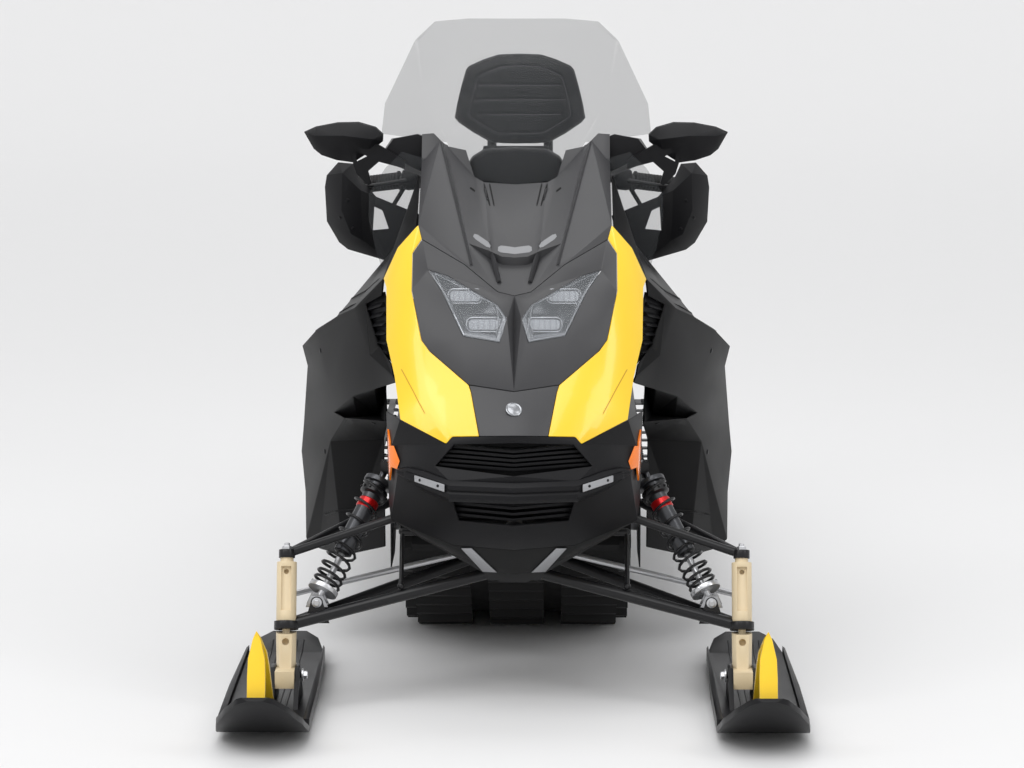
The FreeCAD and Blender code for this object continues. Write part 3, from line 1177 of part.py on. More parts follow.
# Skis
def make_ski(side_name, side):
    """A moulded ski with a curled tip, edge ribs, a saddle for the spindle and a keel."""
    thick = S.ski_thickness
    low = S.ski_flat
    tip = V(0, -S.front_reach, S.ski_tip_z)
    curl = V(0, S.ski_curl_run - S.front_reach, low)
    mid = tip + V(0, S.ski_curl_run * 0.6, (low - S.ski_tip_z) * 0.7)
    bottom_curl = Part.Arc(curl, mid, tip).toShape()
    top_tip = tip + V(0, thick * 0.6, thick * 0.5)
    top_foot = curl + V(0, thick * 0.2, thick)
    top_curl = Part.Arc(top_foot, mid + V(0, thick * 0.4, thick * 0.9), top_tip).toShape()
    rear = V(0, S.ski_rear_y, low + S.ski_rear_rise)
    flat_rear = V(0, S.ski_flat_rear_y, low)
    up = V(0, 0, thick)
    wire = Part.Wire([
        bottom_curl, Part.LineSegment(tip, top_tip).toShape(), top_curl,
        Part.LineSegment(top_foot, flat_rear + up).toShape(),
        Part.LineSegment(flat_rear + up, rear + up).toShape(), Part.LineSegment(rear + up, rear).toShape(),
        Part.LineSegment(rear, flat_rear).toShape(), Part.LineSegment(flat_rear, curl).toShape(),
    ])
    half = S.ski_width / 2
    sole = Part.Face(wire).extrude(V(S.ski_width, 0, 0))
    sole.translate(V(-half, 0, 0))
    pieces = [sole]
    for edge in (-1, 1):
        x = edge * (half - S.ski_rib_width / 2)
        rib = block(V(x - S.ski_rib_width / 2, curl.y, low + thick / 2),
                    V(x + S.ski_rib_width / 2, S.ski_rear_y - thick, low + thick + S.ski_rib_height))
        pieces.append(rib)
    plan = []
    for share, width in PLAN_SHARES:
        plan.append(V(width * half, -S.front_reach + share * (S.ski_rear_y + S.front_reach), 0))
    plan = plan + [V(-spot.x, spot.y, 0) for spot in reversed(plan)]
    trim = prism(plan, V(0, 0, S.ski_tip_z * 3))
    shape = fused(pieces).common(trim)
    offset = S.ski_x - S.ball_x
    saddle_low = low + thick / 2
    for wall_side in (-1, 1):
        x = -offset + wall_side * (S.foot_width / 2 + S.seat_gap + S.saddle_wall / 2)
        wall = prism([
            V(0, S.ski_bolt_y - S.saddle_length / 2, saddle_low),
            V(0, S.ski_bolt_y + S.saddle_length / 2, saddle_low),
            V(0, S.ski_bolt_y + S.saddle_wall * 2, S.ski_bolt_z + S.saddle_wall * 2),
            V(0, S.ski_bolt_y - S.saddle_wall * 2, S.ski_bolt_z + S.saddle_wall * 2),
        ], V(S.saddle_wall, 0, 0))
        wall.translate(V(x - S.saddle_wall / 2, 0, 0))
        shape = shape.fuse(wall)
    reach = V(S.foot_width / 2 + S.saddle_wall * 1.6, 0, 0)
    bolt = V(-offset, S.ski_bolt_y, S.ski_bolt_z)
    shape = shape.fuse(rod(bolt - reach, bolt + reach, S.ski_bolt_radius - S.seat_gap))
    keel = prism([
        V(-S.keel_width / 2, S.keel_rear_y, low + thick / 2), V(-S.wear_radius, S.keel_rear_y, S.wear_radius),
        V(S.wear_radius, S.keel_rear_y, S.wear_radius), V(S.keel_width / 2, S.keel_rear_y, low + thick / 2),
    ], V(0, S.keel_front_y - S.keel_rear_y, 0))
    inset = V(0, S.keel_width, 0)
    wear_start = V(0, S.keel_rear_y, S.wear_radius) - inset
    wear_end = V(0, S.keel_front_y, S.wear_radius) + inset
    wear = rod(wear_start, wear_end, S.wear_radius)
    shape = fused([shape, keel, wear])
    shape.translate(V(S.ski_x, 0, 0))
    feature("ski_" + side_name, shape if side > 0 else mirrored(shape))


PLAN_SHARES = (
    (0, 0.16), (0.012, 0.4), (0.05, 0.68), (0.11, 0.92), (0.18, 1.0), (0.5, 1.0), (0.86, 0.92),
    (0.96, 0.7), (1.0, 0.4),
)


def make_ski_loop(side_name, side):
    """The yellow handle: a strap that rises from the tip to a pointed top and slopes back to the ski."""
    thick = S.loop_thickness
    front = V(0, -S.front_reach + S.loop_set_back, S.ski_tip_z)
    top = V(0, S.loop_top_run - S.front_reach, S.loop_top_z)
    rear = V(0, S.loop_rear_y, S.ski_flat + S.ski_thickness + S.seat_gap)
    slope = (rear - top).normalize()
    inward = V(0, slope.z, -slope.y)
    if inward.z > 0:
        inward = inward * -1
    rise = (top - front).normalize()
    foot = front + V(0, 0, -S.loop_tuck)
    outer = [
        foot, foot + rise * (top - foot).Length - V(0, 0, thick), top, rear,
        rear + V(0, -thick * 1.6, 0), top + slope * (thick * 2.5) + inward * thick,
        foot + rise * (top - foot).Length + V(0, thick, -thick * 2.6), foot + V(0, thick, 0),
    ]
    strap = prism(outer, V(S.loop_width, 0, 0))
    strap.translate(V(-S.loop_width / 2, 0, 0))
    half = S.loop_width / 2
    start = -S.front_reach - S.overrun
    front_view = [V(x * half, start, S.ski_tip_z + z * (S.loop_top_z - S.ski_tip_z)) for x, z in LOOP_SHARES]
    front_view += [V(-spot.x, start, spot.z) for spot in reversed(front_view)]
    depth = S.loop_rear_y - start + S.overrun
    strap = strap.common(prism(front_view, V(0, depth, 0))).removeSplitter()
    strap.translate(V(S.ski_x, 0, 0))
    feature("ski_loop_" + side_name, strap if side > 0 else mirrored(strap))


# The strap seen from the front: across in half widths, up in shares of its rise above the ski's tip
LOOP_SHARES = ((0.0, 1.01), (0.45, 0.86), (0.92, 0.58), (1.0, 0.3), (1.0, -2.0))


# Windshield
SHIELD_SHARES = {
    "foot_mid": (0, 0, 0), "foot_a": (0.34, 0.177, 0.03), "foot_b": (0.51, 0.25, 0.26),
    "foot_c": (1.0, 0.7, 0.28), "mid": (0, 0.4, 0.52), "mid_a": (0.36, 0.43, 0.52),
    "mid_b": (0.68, 0.55, 0.52), "mid_c": (0.98, 0.86, 0.46), "crease": (0, 0.78, 0.9),
    "crease_a": (0.36, 0.8, 0.9), "crease_b": (0.74, 0.9, 0.875), "top": (0, 0.88, 1.0),
    "top_a": (0.36, 0.9, 1.0), "top_b": (0.607, 0.94, 0.98), "top_c": (0.763, 1.0, 0.85),
}
SHIELD_FACES = [
    ("foot_mid", "foot_a", "mid_a", "mid"), ("foot_a", "foot_b", "mid_b", "mid_a"),
    ("foot_b", "foot_c", "mid_c", "mid_b"), ("mid", "mid_a", "crease_a", "crease"),
    ("mid_a", "mid_b", "crease_b", "crease_a"), ("mid_b", "mid_c", "top_c", "crease_b"),
    ("crease", "crease_a", "top_a", "top"), ("crease_a", "crease_b", "top_b", "top_a"),
    ("crease_b", "top_c", "top_b"),
]


def make_windshield():
    """The tall windshield, creased below its top edge."""
    foot = cowl_corner(COWL_SHARES["dish_mid"]) + V(0, S.shield_set_back, -S.shield_tuck)
    corners = {}
    for name, (across, back, up) in SHIELD_SHARES.items():
        corners[name] = V(across * S.cowl_half_width, foot.y + back * S.shield_run,
                          foot.z + up * S.shield_rise)
    points, panels = with_mirror(corners, {"windshield": SHIELD_FACES})
    shell = Shell(points, panels, foot + V(0, 3 * S.shield_run, 0))
    feature("windshield", shell.solid("windshield", S.shield_wall, 0))
    return shell.room("windshield", S.shield_wall, 0, S.seat_gap)


# Side deflectors, seen from the front: corners as shares of the cowl's half width and height
DEFLECTOR_SHARES = (
    (0.83, 1.135), (0.66, 1.12), (0.66, 0.98), (0.86, 0.871), (0.972, 0.871), (1.022, 0.919),
    (1.075, 0.99), (1.07, 1.045), (0.95, 1.1),
)


def make_deflectors(rooms):
    """Clear side deflectors below the pods, which shelter the rider's hands."""
    front = cowl_corner(COWL_SHARES["cowl_shoulder"]).y - S.seat_gap
    sheet_shape = prism([V(x, front, z) for x, z in across_and_up(DEFLECTOR_SHARES)], V(0, S.shield_wall, 0))
    for room in rooms:
        sheet_shape = sheet_shape.cut(room)
    feature("side_deflectors", both(max(sheet_shape.Solids, key=lambda piece: piece.Volume)))


# Side panels
SIDE_SHARES = {
    "top": (0.9345, 0.36, 0.887), "vent_in": (0.945, 0.372, 0.85), "vent_rim": (1.065, 0.42, 0.826),
    "vent_mid": (0.962, 0.385, 0.741), "vent_low": (0.875, 0.32, 0.711),
    "band_top": (1.15, 0.45, 0.815), "band_mid": (1.03, 0.375, 0.722), "band_low": (0.86, 0.305, 0.688),
    "rim_a": (1.285, 0.525, 0.789), "rim_b": (1.46, 0.625, 0.745), "rim_c": (1.587, 0.745, 0.695),
    "edge": (1.553, 0.765, 0.647), "fold": (1.36, 0.6, 0.634),
    "lip": (0.84, 0.315, 0.671), "lip_a": (1.0, 0.395, 0.646), "lip_b": (1.17, 0.485, 0.619),
    "lip_c": (1.33, 0.605, 0.566), "lip_d": (1.574, 0.79, 0.579),
    "duct": (0.93, 0.52, 0.64), "duct_a": (1.0, 0.6, 0.56), "duct_b": (1.15, 0.62, 0.53),
    "tongue": (0.93, 0.42, 0.573), "tongue_out": (1.24, 0.545, 0.562),
    "flank_a": (1.6, 0.845, 0.506), "flank_b": (1.625, 0.875, 0.438), "flank_c": (1.6, 0.89, 0.343),
    "flank_d": (1.6, 0.9, 0.231), "toe": (1.5, 0.9, 0.208), "toe_mid": (1.3, 0.8, 0.21),
    "fair_top": (1.37, 0.68, 0.49), "fair_in": (0.97, 0.64, 0.5), "fair_low": (0.97, 0.66, 0.256),
    "back_top": (0.85, 0.8, 0.93), "back_rim": (1.3, 0.98, 0.7), "back_low": (1.5, 1.02, 0.42),
    "deck_front": (0.705, 0.41, 0.985), "deck_back": (0.705, 0.65, 1.085),
}
SIDE_FACES = [
    ("top", "deck_front", "deck_back", "back_top"), ("top", "back_top", "band_top"),
    ("top", "band_top", "vent_rim", "vent_in"),
    ("vent_rim", "band_top", "band_mid", "vent_mid"), ("vent_mid", "band_mid", "band_low", "vent_low"),
    ("band_top", "back_top", "rim_a"), ("rim_a", "back_top", "back_rim", "rim_b"),
    ("rim_b", "back_rim", "rim_c"), ("band_top", "rim_a", "fold", "band_mid"),
    ("rim_a", "rim_b", "fold"), ("rim_b", "rim_c", "edge", "fold"),
    ("band_mid", "lip_a", "lip", "band_low"), ("band_mid", "fold", "lip_b", "lip_a"),
    ("fold", "lip_c", "lip_b"), ("fold", "edge", "lip_d", "lip_c"),
    ("rim_c", "back_rim", "edge"), ("edge", "back_rim", "back_low", "lip_d"),
    ("lip_d", "back_low", "flank_a"), ("flank_a", "back_low", "flank_b"),
    ("flank_b", "back_low", "flank_c"), ("flank_c", "back_low", "flank_d"), ("flank_d", "back_low", "toe"),
    ("lip", "lip_a", "duct"), ("lip_a", "lip_b", "duct_a", "duct"), ("lip_b", "lip_c", "duct_b", "duct_a"),
    ("duct", "duct_a", "tongue"), ("duct_a", "duct_b", "tongue_out", "tongue"),
    ("duct_b", "lip_c", "tongue_out"), ("tongue_out", "lip_c", "fair_top"),
    ("tongue", "tongue_out", "fair_in"), ("tongue_out", "fair_top", "fair_in"),
    ("lip_c", "lip_d", "flank_a", "fair_top"), ("fair_top", "flank_a", "flank_b", "flank_c"),
    ("fair_top", "flank_c", "flank_d"), ("fair_top", "flank_d", "toe", "toe_mid"),
    ("fair_in", "fair_top", "toe_mid", "fair_low"),
]


def make_side_panels():
    """The side panels with their air ducts, and the louvred vents in the openings beside the accents."""
    corners = {name: cowl_corner(shares) for name, shares in SIDE_SHARES.items()}
    points, panels = with_mirror(corners, {"side_panel_left": SIDE_FACES})
    inside = V(S.cowl_half_width * 0.9, S.cowl_nose_y + S.cowl_length * 0.8, S.cowl_height * 0.55)
    shell = Shell(points, panels, inside)
    solid = shell.solid("side_panel_left", S.panel_wall, S.seam)
    feature("side_panel_left", solid)
    feature("side_panel_right", mirrored(solid))
    room = shell.room("side_panel_left", S.panel_wall, S.seam, S.seat_gap)
    set_back = V(0, S.louvre_depth, 0)
    vent = {}
    for name in ("vent_in", "vent_rim", "vent_mid", "vent_low"):
        vent[name] = corners[name] + set_back
    middle = (vent["vent_in"] + vent["vent_low"]) * (1 / 2) + V(-S.louvre_depth / 2, 0, 0)
    faces = [("vent_in", "vent_rim", "vent_mid", "vent_low", "middle")]
    vent["middle"] = middle
    sheet_shell = Shell(vent, {"vent": faces}, inside)
    pieces = [sheet_shell.solid("vent", S.panel_wall, -S.louvre_depth)]
    count = round(S.louvre_count)
    for i in range(count):
        share = (i + 1) / (count + 1)
        inner = vent["vent_in"] + (vent["vent_low"] - vent["vent_in"]) * share
        if share < VENT_KNEE_SHARE:
            along = share / VENT_KNEE_SHARE
            outer = vent["vent_rim"] + (vent["vent_mid"] - vent["vent_rim"]) * along
        else:
            along = (share - VENT_KNEE_SHARE) / (1 - VENT_KNEE_SHARE)
            outer = vent["vent_mid"] + (vent["vent_low"] - vent["vent_mid"]) * along
        outer = outer + V(0, 0, S.louvre_depth / 2)
        pieces.append(bevelled_bar(inner, outer, V(0, -1, 0), S.louvre_depth, S.louvre_depth * 0.8))
    vent = fused(pieces).cut(room)
    feature("side_vents", both(max(vent.Solids, key=lambda piece: piece.Volume)))
    return room


VENT_KNEE_SHARE = 0.72


# Console, seats and backrest
def lofted(sections):
    """A solid through flat sections given as lists of corners."""
    wires = [Part.makePolygon(points + [points[0]]) for points in sections]
    return Part.makeLoft(wires, True, True)


def tunnel_top(y):
    """Height of the tunnel's top face."""
    share = (y - S.board_front_y) / (S.tunnel_rear_y - S.board_front_y)
    return S.tunnel_front_top + max(share, 0) * (S.tunnel_rear_top - S.tunnel_front_top)


def body_section(y, half_low, half_top, top, shoulder):
    """A closed section across the machine, standing on the tunnel, with sloped shoulders."""
    low = tunnel_top(y) + S.seat_gap
    return [
        V(-half_low, y, low), V(half_low, y, low), V(half_low, y, top - shoulder),
        V(half_top, y, top), V(-half_top, y, top), V(-half_low, y, top - shoulder),
    ]


def make_console():
    """The dash and tank cover between the windshield and the seat."""
    half = S.console_half_width
    middle = S.board_front_y
    drop = S.console_shoulder
    sections = [
        body_section(S.console_front_y, half, half * 0.8, S.console_top, drop),
        body_section(middle, half * 0.95, half * 0.55, S.console_top, drop * 1.5),
        body_section(S.console_rear_y - S.seat_gap, half * 0.8, half * 0.4, S.console_top - drop, drop),
    ]
    front = lofted(sections[:2])
    rear = lofted(sections[1:])
    _, head, root, _ = column_places()
    shape = fused([front, rear]).cut(rod(root, head, S.column_radius * 2))
    feature("console", max(shape.Solids, key=lambda piece: piece.Volume))


# Instrument hood sections: share of its length back, half width low, at the waist and at the top, and its top
HOOD_SHARES = ((0, 0.62, 0.5, 0.42, 0.82), (0.35, 0.8, 0.72, 0.6, 1.0), (1, 1.0, 0.85, 0.75, 0.72))


def make_instrument_hood():
    """The gauge housing on the dash, behind the windshield."""
    low = S.console_top + S.seat_gap
    rise = S.hood_top - low
    sections = []
    for along, half_low, waist, half_top, top in HOOD_SHARES:
        y = S.console_front_y + S.hood_set_back + along * S.hood_length
        high = low + rise * top
        middle = low + (high - low) * 0.6
        half = []
        for share, z in ((half_low, low), (waist, middle), (half_top, high)):
            half.append(V(share * S.hood_half_width, y, z))
        sections.append(half + [V(-spot.x, y, spot.z) for spot in reversed(half)])
    feature("instrument_hood", fused([lofted(list(pair)) for pair in zip(sections, sections[1:])]))


def make_seat():
    """A stepped two-up seat as a plain padded block."""
    half = S.seat_half_width
    low = tunnel_top(S.seat_front_y) + S.seat_height
    high = low + S.rear_seat_step
    drop = S.seat_shoulder
    step = half * 0.16
    sections = [
        body_section(S.seat_front_y, half * 0.75, half * 0.45, low + drop * 0.4, drop),
        body_section(S.seat_front_y + S.seat_height * 0.7, half * 0.9, half * 0.7, low, drop),
        body_section(S.rear_seat_y - step, half, half * 0.85, low, drop),
        body_section(S.rear_seat_y + step, half, half * 0.8, high, drop * 1.2),
        body_section(S.seat_rear_y, half, half * 0.8, high, drop * 1.2),
    ]
    feature("seat", fused([lofted(list(pair)) for pair in zip(sections, sections[1:])]))


# The backrest pad's outline, left side: shares of its half width and of its height
REST_SHARES = ((0.45, 0), (1.0, 0.27), (0.82, 0.84), (0.3, 1.0))


def make_backrest():
    """The passenger's backrest pad on two tubes."""
    y = S.rest_y
    rise = S.rest_top - S.rest_low
    edge = [V(x * S.rest_half_width, y, S.rest_low + z * rise) for x, z in REST_SHARES]
    edge += [V(-spot.x, y, spot.z) for spot in reversed(edge)]
    feature("backrest", prism(edge, V(0, S.rest_thickness, 0)))
    back = y + S.rest_thickness + S.seat_gap + S.rest_tube_radius
    half = S.rest_tube_x
    high = S.rest_low + rise * 0.74
    tubes = [rod(V(-half, back, high), V(half, back, high), S.rest_tube_radius)]
    for x in (-half, half):
        tubes.append(rod(V(x, back, S.rack_z + S.rack_tube_radius), V(x, back, high), S.rest_tube_radius))
    feature("backrest_frame", fused(tubes))


def make_rack():
    """The cargo rack over the tunnel's rear."""
    z = S.rack_z
    half = S.rack_half_width
    tube = S.rack_tube_radius
    front = S.rest_y + S.rest_thickness + S.seat_gap + S.rest_tube_radius
    rear = S.rack_rear_y
    pieces = [
        rod(V(-half, front, z), V(half, front, z), tube), rod(V(-half, rear, z), V(half, rear, z), tube),
        rod(V(-half, front, z), V(-half, rear, z), tube), rod(V(half, front, z), V(half, rear, z), tube),
    ]
    for share in (-0.5, 0, 0.5):
        pieces.append(rod(V(share * half, front, z), V(share * half, rear, z), tube * 0.8))
    for y in (front + S.rack_leg_inset, rear - S.rack_leg_inset):
        for x in (-half, half):
            foot = tunnel_top(y + tube) + S.seat_gap
            pieces.append(rod(V(x, y, foot), V(x, y, z), tube))
    feature("cargo_rack", fused(pieces))


def make_rear_bumper():
    """The rear bumper loop, and the hitch's two ears below it on a plate across the tunnel's end."""
    half = S.bumper_half_width
    z = S.bumper_z
    side_x = S.track_width / 2 + S.tunnel_clearance + S.tunnel_wall + S.bumper_tube_radius + S.seat_gap
    start = V(side_x, S.tunnel_rear_y - S.bumper_root, S.tunnel_rear_low + S.bumper_bend)
    turn_y = S.tunnel_rear_y + S.hitch_length * 0.4
    tube = pipe([
        start, V(side_x, turn_y, z), V(half, S.rear_bumper_y, z), V(-half, S.rear_bumper_y, z),
        V(-side_x, turn_y, z), V(-side_x, start.y, start.z),
    ], S.bumper_bend, S.bumper_tube_radius)
    feature("rear_bumper", tube)
    ear = S.hitch_width / 2
    plate = S.hitch_plate_width / 2
    base_y = S.tunnel_rear_y + S.seat_gap
    wall_y = base_y + S.hitch_wall
    top = S.tunnel_rear_top
    ears = [
        block(V(-ear, base_y, S.hitch_z), V(ear, wall_y, top)),
        block(V(-plate, base_y, top - S.hitch_wall * 6), V(plate, wall_y, top)),
    ]
    for z_low in (S.hitch_z, S.hitch_z + S.hitch_wall + S.hitch_gap):
        ears.append(block(V(-ear, base_y, z_low), V(ear, base_y + S.hitch_length, z_low + S.hitch_wall)))
    pin_y = base_y + S.hitch_length - ear
    bore_low = V(0, pin_y, S.hitch_z - S.overrun)
    bore = rod(bore_low, bore_low + V(0, 0, S.hitch_length), S.hitch_radius)
    feature("hitch", fused(ears).cut(bore))


def make_flap():
    """The snow flap that hangs behind the track."""
    half = S.track_width / 2 + S.tunnel_clearance + S.tunnel_wall
    points = [
        V(-half, S.tunnel_rear_y + S.seat_gap, S.flap_top),
        V(-half, S.tunnel_rear_y + S.seat_gap + S.flap_thickness, S.flap_top),
        V(-half, S.flap_rear, S.flap_low), V(-half, S.flap_rear - S.flap_thickness, S.flap_low),
    ]
    feature("snow_flap", prism(points, V(2 * half, 0, 0)))


LAMP_RIM = ("lamp_in_low", "lamp_in", "lamp_in_top", "lamp_top", "lamp_tip", "lamp_out", "lamp_low")
# Each lamp module: shares of three rim corners, then its half width and half height as shares of its length
LAMP_MODULES = (
    (("lamp_top", 0.5), ("lamp_in_top", 0.28), ("lamp_low", 0.22)),
    (("lamp_in_top", 0.38), ("lamp_low", 0.42), ("lamp_in_low", 0.2)),
)


def frustum(rim, centre, front_share, back_share, depth):
    """A solid from a rim, shrunk towards its centre, back to a smaller copy of the rim."""
    front = [centre + (point - centre) * front_share for point in rim]
    back = [centre + (point - centre) * back_share + V(0, depth, 0) for point in rim]
    mid_back = centre + V(0, depth, 0)
    faces = []
    count = len(rim)
    for i in range(count):
        j = (i + 1) % count
        faces.append([front[i], front[j], centre])
        faces.append([back[j], back[i], mid_back])
        faces.append([front[j], front[i], back[i]])
        faces.append([front[j], back[i], back[j]])
    return closed_solid(faces)


def make_lamps(shell):
    """Headlamp lenses in the hood's openings, and behind them bowls that hold two modules each."""
    corners = {name: shell.points[name] for name in LAMP_RIM}
    rim = list(corners.values())
    centre = V(0, 0, 0)
    for point in rim:
        centre = centre + point
    centre = centre * (1 / len(rim))
    corners["middle"] = centre - V(0, S.lens_crown, 0)
    faces = [("middle",) + LAMP_RIM, ("middle", LAMP_RIM[-1], LAMP_RIM[0])]
    lens_shell = Shell(corners, {"lens": faces}, V(0, 0, centre.z))
    hood_room = shell.room("lower_hood", S.panel_wall, S.seam, S.seat_gap)
    hood_room = fused([hood_room, mirrored(hood_room)])
    lens = lens_shell.solid("lens", S.lens_wall, S.seam).cut(hood_room)
    feature("headlights", both(max(lens.Solids, key=lambda piece: piece.Volume)))
    set_back = V(0, S.lens_wall * 2, 0)
    seat = [point + set_back for point in rim]
    middle = centre + set_back
    bowl = frustum(seat, middle, 1, BOWL_BACK_SHARE, S.lamp_depth)
    inner_back = BOWL_BACK_SHARE * BOWL_LIP_SHARE
    hollow = frustum(seat, middle, BOWL_LIP_SHARE, inner_back, S.lamp_depth - S.lens_wall * 2)
    pieces = [bowl.cut(hollow)]
    for parts in LAMP_MODULES:
        spot = V(0, 0, 0)
        for name, share in parts:
            spot = spot + corners[name] * share
        half = V(S.module_length / 2, 0, S.module_height / 2)
        start = spot + V(0, S.lamp_depth * MODULE_SET_BACK_SHARE, 0)
        depth = centre.y + S.lamp_depth - start.y
        shape = block(start - half, start + half + V(0, depth, 0))
        ends = [edge for edge in shape.Edges if edge.BoundBox.YLength > depth / 2]
        pieces.append(shape.makeFillet(S.module_corner, ends))
    lens_room = lens_shell.room("lens", S.lens_wall, S.seam, S.seat_gap)
    unit = fused(pieces).cut(hood_room).cut(lens_room)
    feature("headlight_units", both(max(unit.Solids, key=lambda piece: piece.Volume)))


BOWL_BACK_SHARE = 0.8
BOWL_LIP_SHARE = 0.9
MODULE_SET_BACK_SHARE = 0.3


def make_tail_light():
    """The tail light under the rack's rear tube."""
    front = S.rack_rear_y + S.rack_tube_radius + S.seat_gap
    low = S.rack_z - S.tail_drop
    feature("tail_light", block(V(-S.tail_width / 2, front, low),
                                V(S.tail_width / 2, front + S.tail_depth, low + S.tail_height)))


def make_reflectors(shell):
    """Amber reflectors on the nose's sides."""
    corners = [shell.points[name] for name in ("nose_side", "nose_back", "nose_back_low", "nose_cheek")]
    outward = shell.normal(("nose_side", "nose_back", "nose_back_low"))
    if outward.x < 0:
        outward = outward * -1
    start = outward * S.seat_gap
    points = []
    for back, down in REFLECTOR_SHARES:
        high = corners[0] + (corners[1] - corners[0]) * back
        low = corners[3] + (corners[2] - corners[3]) * back
        points.append(high + (low - high) * down)
    base = corners[0]
    flat = [point - outward * (point - base).dot(outward) + start for point in points]
    feature("side_reflectors", both(prism(flat, outward * S.reflector_depth)))


REFLECTOR_SHARES = ((0.18, 0.08), (0.5, 0.02), (0.62, 0.5), (0.5, 0.86), (0.2, 0.7))


# Grilles: height of the top and the bottom, half width at each, as shares of the cowl's box
GRILLE_SHARES = ((0.575, 0.528, 0.43, 0.53), (0.458, 0.422, 0.42, 0.39))
GRILLE_FRONT_SHARE = 0.05
GRILLE_BACKING_SHARE = 0.56


def make_grille(nose_room):
    """Upper and lower grilles: chevron slats between the nose cowl's edges, on one backing."""
    slats = []
    y = S.cowl_nose_y + GRILLE_FRONT_SHARE * S.cowl_length
    back = S.cowl_nose_y + S.grille_rear_share * S.cowl_length
    sweep = S.slat_depth * 0.8
    thick = S.slat_height * 0.6
    for (top, low, half_top, half_low), count in zip(GRILLE_SHARES, (S.upper_slats, S.lower_slats)):
        for i in range(round(count)):
            share = (i + 0.5) / count
            z = (top + (low - top) * share) * S.cowl_height
            half = (half_top + (half_low - half_top) * share) * S.cowl_half_width
            middle = V(0, y, z - S.slat_height)
            tip = V(half, y + sweep, z)
            reach = V(0, back - y, 0)
            side = prism([middle, tip, tip + V(0, 0, thick), middle + V(0, 0, thick)], reach)
            slats += [side, mirrored(side)]
    half = GRILLE_BACKING_SHARE * S.cowl_half_width
    backing = block(V(-half, back - S.panel_wall * 2, GRILLE_SHARES[1][1] * S.cowl_height),
                    V(half, back, GRILLE_SHARES[0][0] * S.cowl_height))
    trim = block(V(-S.cowl_half_width, y - S.slat_depth, 0), V(S.cowl_half_width, back, S.cowl_height))
    whole = fused(slats + [backing]).common(trim).cut(nose_room)
    feature("grille", max(whole.Solids, key=lambda piece: piece.Volume))


# Front bumper stations: across, forward face back from the nose, top, bottom, as shares of the cowl's box
BUMPER_SHARES = (
    (0, -0.006, 0.506, 0.463), (0.44, 0.022, 0.507, 0.463), (0.62, 0.07, 0.519, 0.477),
    (0.74, 0.104, 0.521, 0.495), (0.81, 0.126, 0.514, 0.506),
)


def make_front_bumper(nose_room):
    """The chevron bumper: a grooved bar across the nose, swept back and up to pointed ends."""
    sections = []
    for across, back, top, low in BUMPER_SHARES:
        x = across * S.cowl_half_width
        y = S.cowl_nose_y + back * S.cowl_length
        high = top * S.cowl_height
        height = (top - low) * S.cowl_height
        bevel = height * BUMPER_BEVEL_SHARE
        rear = y + S.bumper_depth
        middle = high - height / 2
        sections.append([
            V(x, rear, high), V(x, y + bevel, high), V(x, y, high - bevel),
            V(x, y, middle + bevel / 2), V(x, y + bevel / 2, middle), V(x, y, middle - bevel / 2),
            V(x, y, high - height + bevel), V(x, y + bevel, high - height), V(x, rear, high - height),
        ])
    half = fused([lofted(list(pair)) for pair in zip(sections, sections[1:])])
    whole = fused([half, mirrored(half)]).cut(nose_room)
    feature("front_bumper", max(whole.Solids, key=lambda piece: piece.Volume))


BUMPER_BEVEL_SHARE = 0.2


def ridged_solid(outline, ridge, back, rim, front):
    """A solid with a flat back, a rim along its outline and a front that rises to a ridge line."""
    rear = [V(x, back, z) for x, z in outline]
    edge = [V(x, rim, z) for x, z in outline]
    crest = [V(x, front, z) for x, z in ridge]
    near = [min(range(len(crest)), key=lambda i: (crest[i] - spot).Length) for spot in edge]
    faces = [list(reversed(rear))]
    for i in range(len(edge)):
        j = (i + 1) % len(edge)
        faces.append([rear[i], rear[j], edge[j], edge[i]])
        faces.append([edge[i], edge[j], crest[near[j]]])
        step = 1 if near[j] > near[i] else -1
        for k in range(near[i], near[j], step):
            faces.append([edge[i], crest[k + step], crest[k]])
    return closed_solid(faces)


def across_and_up(shares):
    """Pairs in millimetres from shares of the cowl's half width and height."""
    return [(x * S.cowl_half_width, z * S.cowl_height) for x, z in shares]


def make_mounts_and_mirrors(shield_room, cowl_room):
    """Pods that hold the windshield's sides, and the mirrors on their brackets."""
    front = cowl_corner(COWL_SHARES["cowl_back"]).y + S.seat_gap
    sections = []
    for along, shares in ((0, POD_FRONT_SHARES), (1, POD_REAR_SHARES)):
        y = front + along * S.pod_length
        sections.append([V(x, y, z) for x, z in across_and_up(shares)])
    pieces = lofted(sections).cut(shield_room).cut(cowl_room).Solids
    pod = min(pieces, key=lambda piece: piece.CenterOfMass.y)
    feature("windshield_mounts", both(pod))
    back = front - S.seat_gap
    bracket, window = [
        prism([V(x, back, z) for x, z in across_and_up(shares)], V(0, -S.bracket_depth, 0))
        for shares in (BRACKET_SHARES, BRACKET_WINDOW_SHARES)
    ]
    middle = back - S.bracket_depth / 2
    half = S.mirror_depth / 2
    housing = ridged_solid(across_and_up(MIRROR_SHARES), across_and_up(MIRROR_RIDGE_SHARES),
                           middle + half, middle, middle - half)
    glass = ridged_solid(across_and_up(MIRROR_SHARES), across_and_up(MIRROR_RIDGE_SHARES),
                         middle + half + S.overrun, middle + half - S.mirror_lip, middle)
    centre = V(*across_and_up([MIRROR_CENTRE_SHARES])[0], 0)
    centre = V(centre.x, middle, centre.y)
    matrix = FreeCAD.Matrix()
    matrix.move(centre * -1)
    matrix.scale(V(MIRROR_GLASS_SHARE, 1, MIRROR_GLASS_SHARE))
    matrix.move(centre)
    glass = glass.transformGeometry(matrix)
    housing = housing.cut(glass)
    feature("mirrors", both(fused([housing, bracket.cut(window)])))
    return pod


